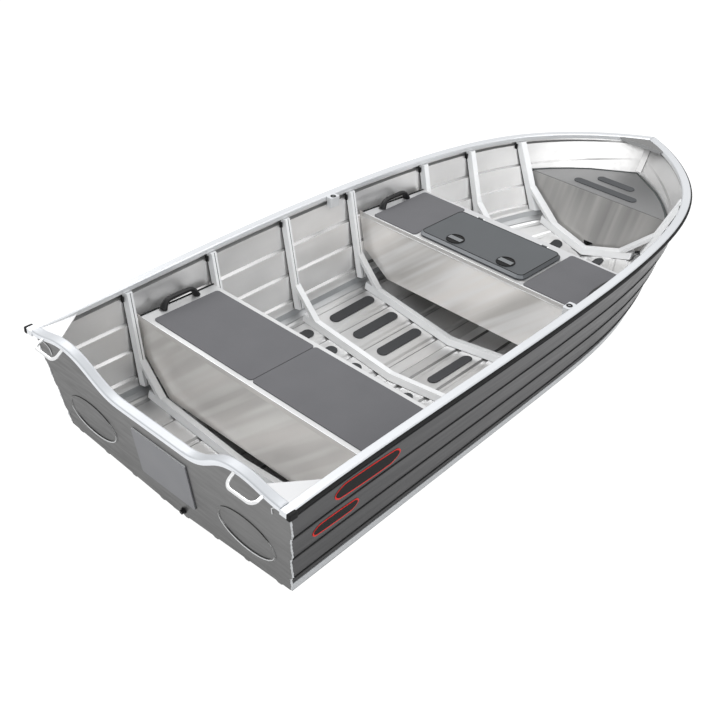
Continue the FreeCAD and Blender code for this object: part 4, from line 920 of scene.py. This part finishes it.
def grab_handle(node):
    """Arched grip with feet that spread where they meet the seat."""
    low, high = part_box(node)
    middle = (low + high) / 2
    half = (high.x - low.x) / 2 - GRIP_INSET
    crown = high.z - low.z - GRIP_DROP
    chain = []
    for number in range(GRIP_POINTS):
        share = math.sin(math.radians(GRIP_TURN * number - 90))
        foot = abs(share) ** GRIP_SPREAD
        rise = crown * (1 - foot) + GRIP_LIFT
        point = Vector((middle.x + half * share, middle.y, low.z + rise))
        chain.append((point, GRIP_THIN + GRIP_FOOT * foot))
    grip = tube(f"{node}_grip", [chain], GRIP_RADIUS, handle_black)
    for vert in grip.data.vertices:
        vert.co.y = middle.y + (vert.co.y - middle.y) * GRIP_BREADTH
    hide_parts(node)


for thwart in ("aft", "mid"):
    for side, word in SIDES:
        grab_handle(f"{thwart}_grab_handle_{word}")


# End caps of the rubbing strip, rowlock bushes and floors of the latches

RUB_FOOT = 0.560
RUB_TALL = 0.032
RUB_LONG = 0.040
RUB_INNER = 0.018
RUB_OUTER = 0.0035
RUB_AFT = 0.003
RUB_ROUND = 0.006
BUSH_RADIUS = 0.015
BUSH_BORE = 0.0072
BUSH_TALL = 0.0016
BUSH_SIDES = 32
WELL_SHARE = 0.865
WELL_DEEP = 0.0006
WELL_LEVEL = 0.0014


def rub_end(side):
    """Cap over the aft end of a rubbing strip."""
    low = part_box("rub_strip_starboard")[0]
    edge = -low[1]
    near, far = sorted((side * (edge - RUB_INNER), side * (edge + RUB_OUTER)))
    foot = (low[0] - RUB_AFT, near, RUB_FOOT)
    return bevelled_box(foot, (low[0] + RUB_LONG, far, RUB_FOOT + RUB_TALL), RUB_ROUND)


def rowlock_bush(word):
    """Black bush that lines a rowlock's bore."""
    low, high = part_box(f"rowlock_socket_{word}")
    shape = bmesh.new()
    rings = []
    for radius, level in ((BUSH_RADIUS, 0), (BUSH_RADIUS, BUSH_TALL), (BUSH_BORE, BUSH_TALL), (BUSH_BORE, 0)):
        turns = [math.tau * number / BUSH_SIDES for number in range(BUSH_SIDES)]
        rings.append([shape.verts.new((radius * math.cos(turn), radius * math.sin(turn), level))
                      for turn in turns])
    for ring, following in zip(rings, rings[1:] + rings[:1]):
        for number in range(BUSH_SIDES):
            shape.faces.new((ring[number - 1], ring[number], following[number], following[number - 1]))
    middle = ((low[0] + high[0]) / 2, (low[1] + high[1]) / 2, high[2])
    bmesh.ops.translate(shape, vec=middle, verts=shape.verts)
    return shape


def latch_wells():
    """Black floors of the two latch dishes."""
    radius, foot, middles = latch_dishes()
    shapes = []
    for x, y in middles:
        shape = bmesh.new()
        bmesh.ops.create_cone(shape, cap_ends=True, segments=48, radius1=radius * WELL_SHARE,
                              radius2=radius * WELL_SHARE, depth=WELL_DEEP)
        bmesh.ops.translate(shape, vec=(x, y, foot + WELL_LEVEL), verts=shape.verts)
        shapes.append(shape)
    return joined("latch_wells", shapes)


rub_ends = joined("rub_ends", [rub_end(1), rub_end(-1)])
settle("rub_ends", rub_ends, rub_black)
bushes = joined("rowlock_bushes", [rowlock_bush(word) for side, word in SIDES])
settle("rowlock_bushes", bushes, rub_black)
settle("latch_wells", latch_wells(), shade_and_black, "lid")


# Beads pressed into the transom, and painted highlights on its oval crests

CORNER_BEAD = ((0.699, 0.490), (0.701, 0.520), (0.716, 0.536),
               (0.740, 0.543), (0.762, 0.540), (0.778, 0.528))
CORNER_RADIUS = 0.0024
CORNER_PROUD = 0.0015
OVAL_OUT = 0.500
OVAL_HALF = 0.164
OVAL_LEVEL = 0.228
OVAL_TALL = 0.0948
OVAL_STEPS = 32
OVAL_START = -8
OVAL_SWEEP = 172
GLINT_RADIUS = 0.0032
GLINT_THINNEST = 0.15
GLINT_SWELL = 0.6

transom_faces = face_finder("transom_plate")


def transom_point(y, z, proud=0.0):
    """A point of the transom's outer face at a breadth and height."""
    place = transom_faces.ray_cast(Vector((-3, y, z)), Vector((1, 0, 0)))[0]
    return Vector((place.x - proud, y, z))


def corner_bead(side):
    """Short curved bead pressed into the transom beside the corner."""
    return plain([transom_point(y * side, z, CORNER_PROUD) for y, z in CORNER_BEAD])


def oval_glint(side):
    """Painted highlight along the lower half of a pressed oval's crest."""
    chain = []
    for number in range(OVAL_STEPS + 1):
        turn = math.radians(OVAL_START - OVAL_SWEEP * number / OVAL_STEPS)
        y = side * (OVAL_OUT + OVAL_HALF * math.cos(turn))
        z = OVAL_LEVEL + OVAL_TALL * math.sin(turn)
        share = max(GLINT_THINNEST, math.sin(math.pi * number / OVAL_STEPS)) ** GLINT_SWELL
        chain.append((transom_point(y, z), share))
    return chain


beads = [corner_bead(side) for side, word in SIDES]
tube("corner_beads", beads, CORNER_RADIUS, highlight_and_bead)
glints = [oval_glint(side) for side, word in SIDES]
tube("oval_glints", glints, GLINT_RADIUS, highlight_and_bead)


# Blank fields with a red edge on the starboard planks

HULL_START = -1.86731
FIELD_BULGE = 0.35
FIELD_SLANT = 0.35
FIELD_TAPER = 0.2
EDGE_LONG = 0.006
EDGE_TALL = 0.0065
EDGE_LIFT = 0.0012
FIELD_LIFT = 0.0018

# Name, middle and half size of each field, along the hull from the transom's top and upwards
FIELDS = (
    ("upper", (HULL_START + 0.435, 0.486), (0.178, 0.031)),
    ("lower", (HULL_START + 0.285, 0.345), (0.122, 0.022)),
)

starboard_faces = face_finder("side_sheet_starboard")


def sticker(name, middle, half, lift, finish):
    """Thin field with bulged ends that follows the starboard planks."""
    field = bmesh.new()
    bmesh.ops.create_grid(field, x_segments=40, y_segments=10, size=1)
    for vert in field.verts:
        u, v = vert.co.x, vert.co.y
        x = middle[0] + half[0] * u * math.sqrt(1 - FIELD_BULGE * v * v) + FIELD_SLANT * half[1] * v
        z = middle[1] + half[1] * v * math.sqrt(1 - FIELD_TAPER * u * u)
        hit = starboard_faces.ray_cast(Vector((x, -3, z)), Vector((0, 1, 0)))[0]
        vert.co = Vector((x, hit.y - lift, z))
    return settle(name, as_mesh(name, field), finish)


for name, middle, half in FIELDS:
    edge = (half[0] + EDGE_LONG, half[1] + EDGE_TALL)
    sticker(f"{name}_decal_edge", middle, edge, EDGE_LIFT, decal_red)
    sticker(f"{name}_decal_field", middle, half, FIELD_LIFT, decal_dark)
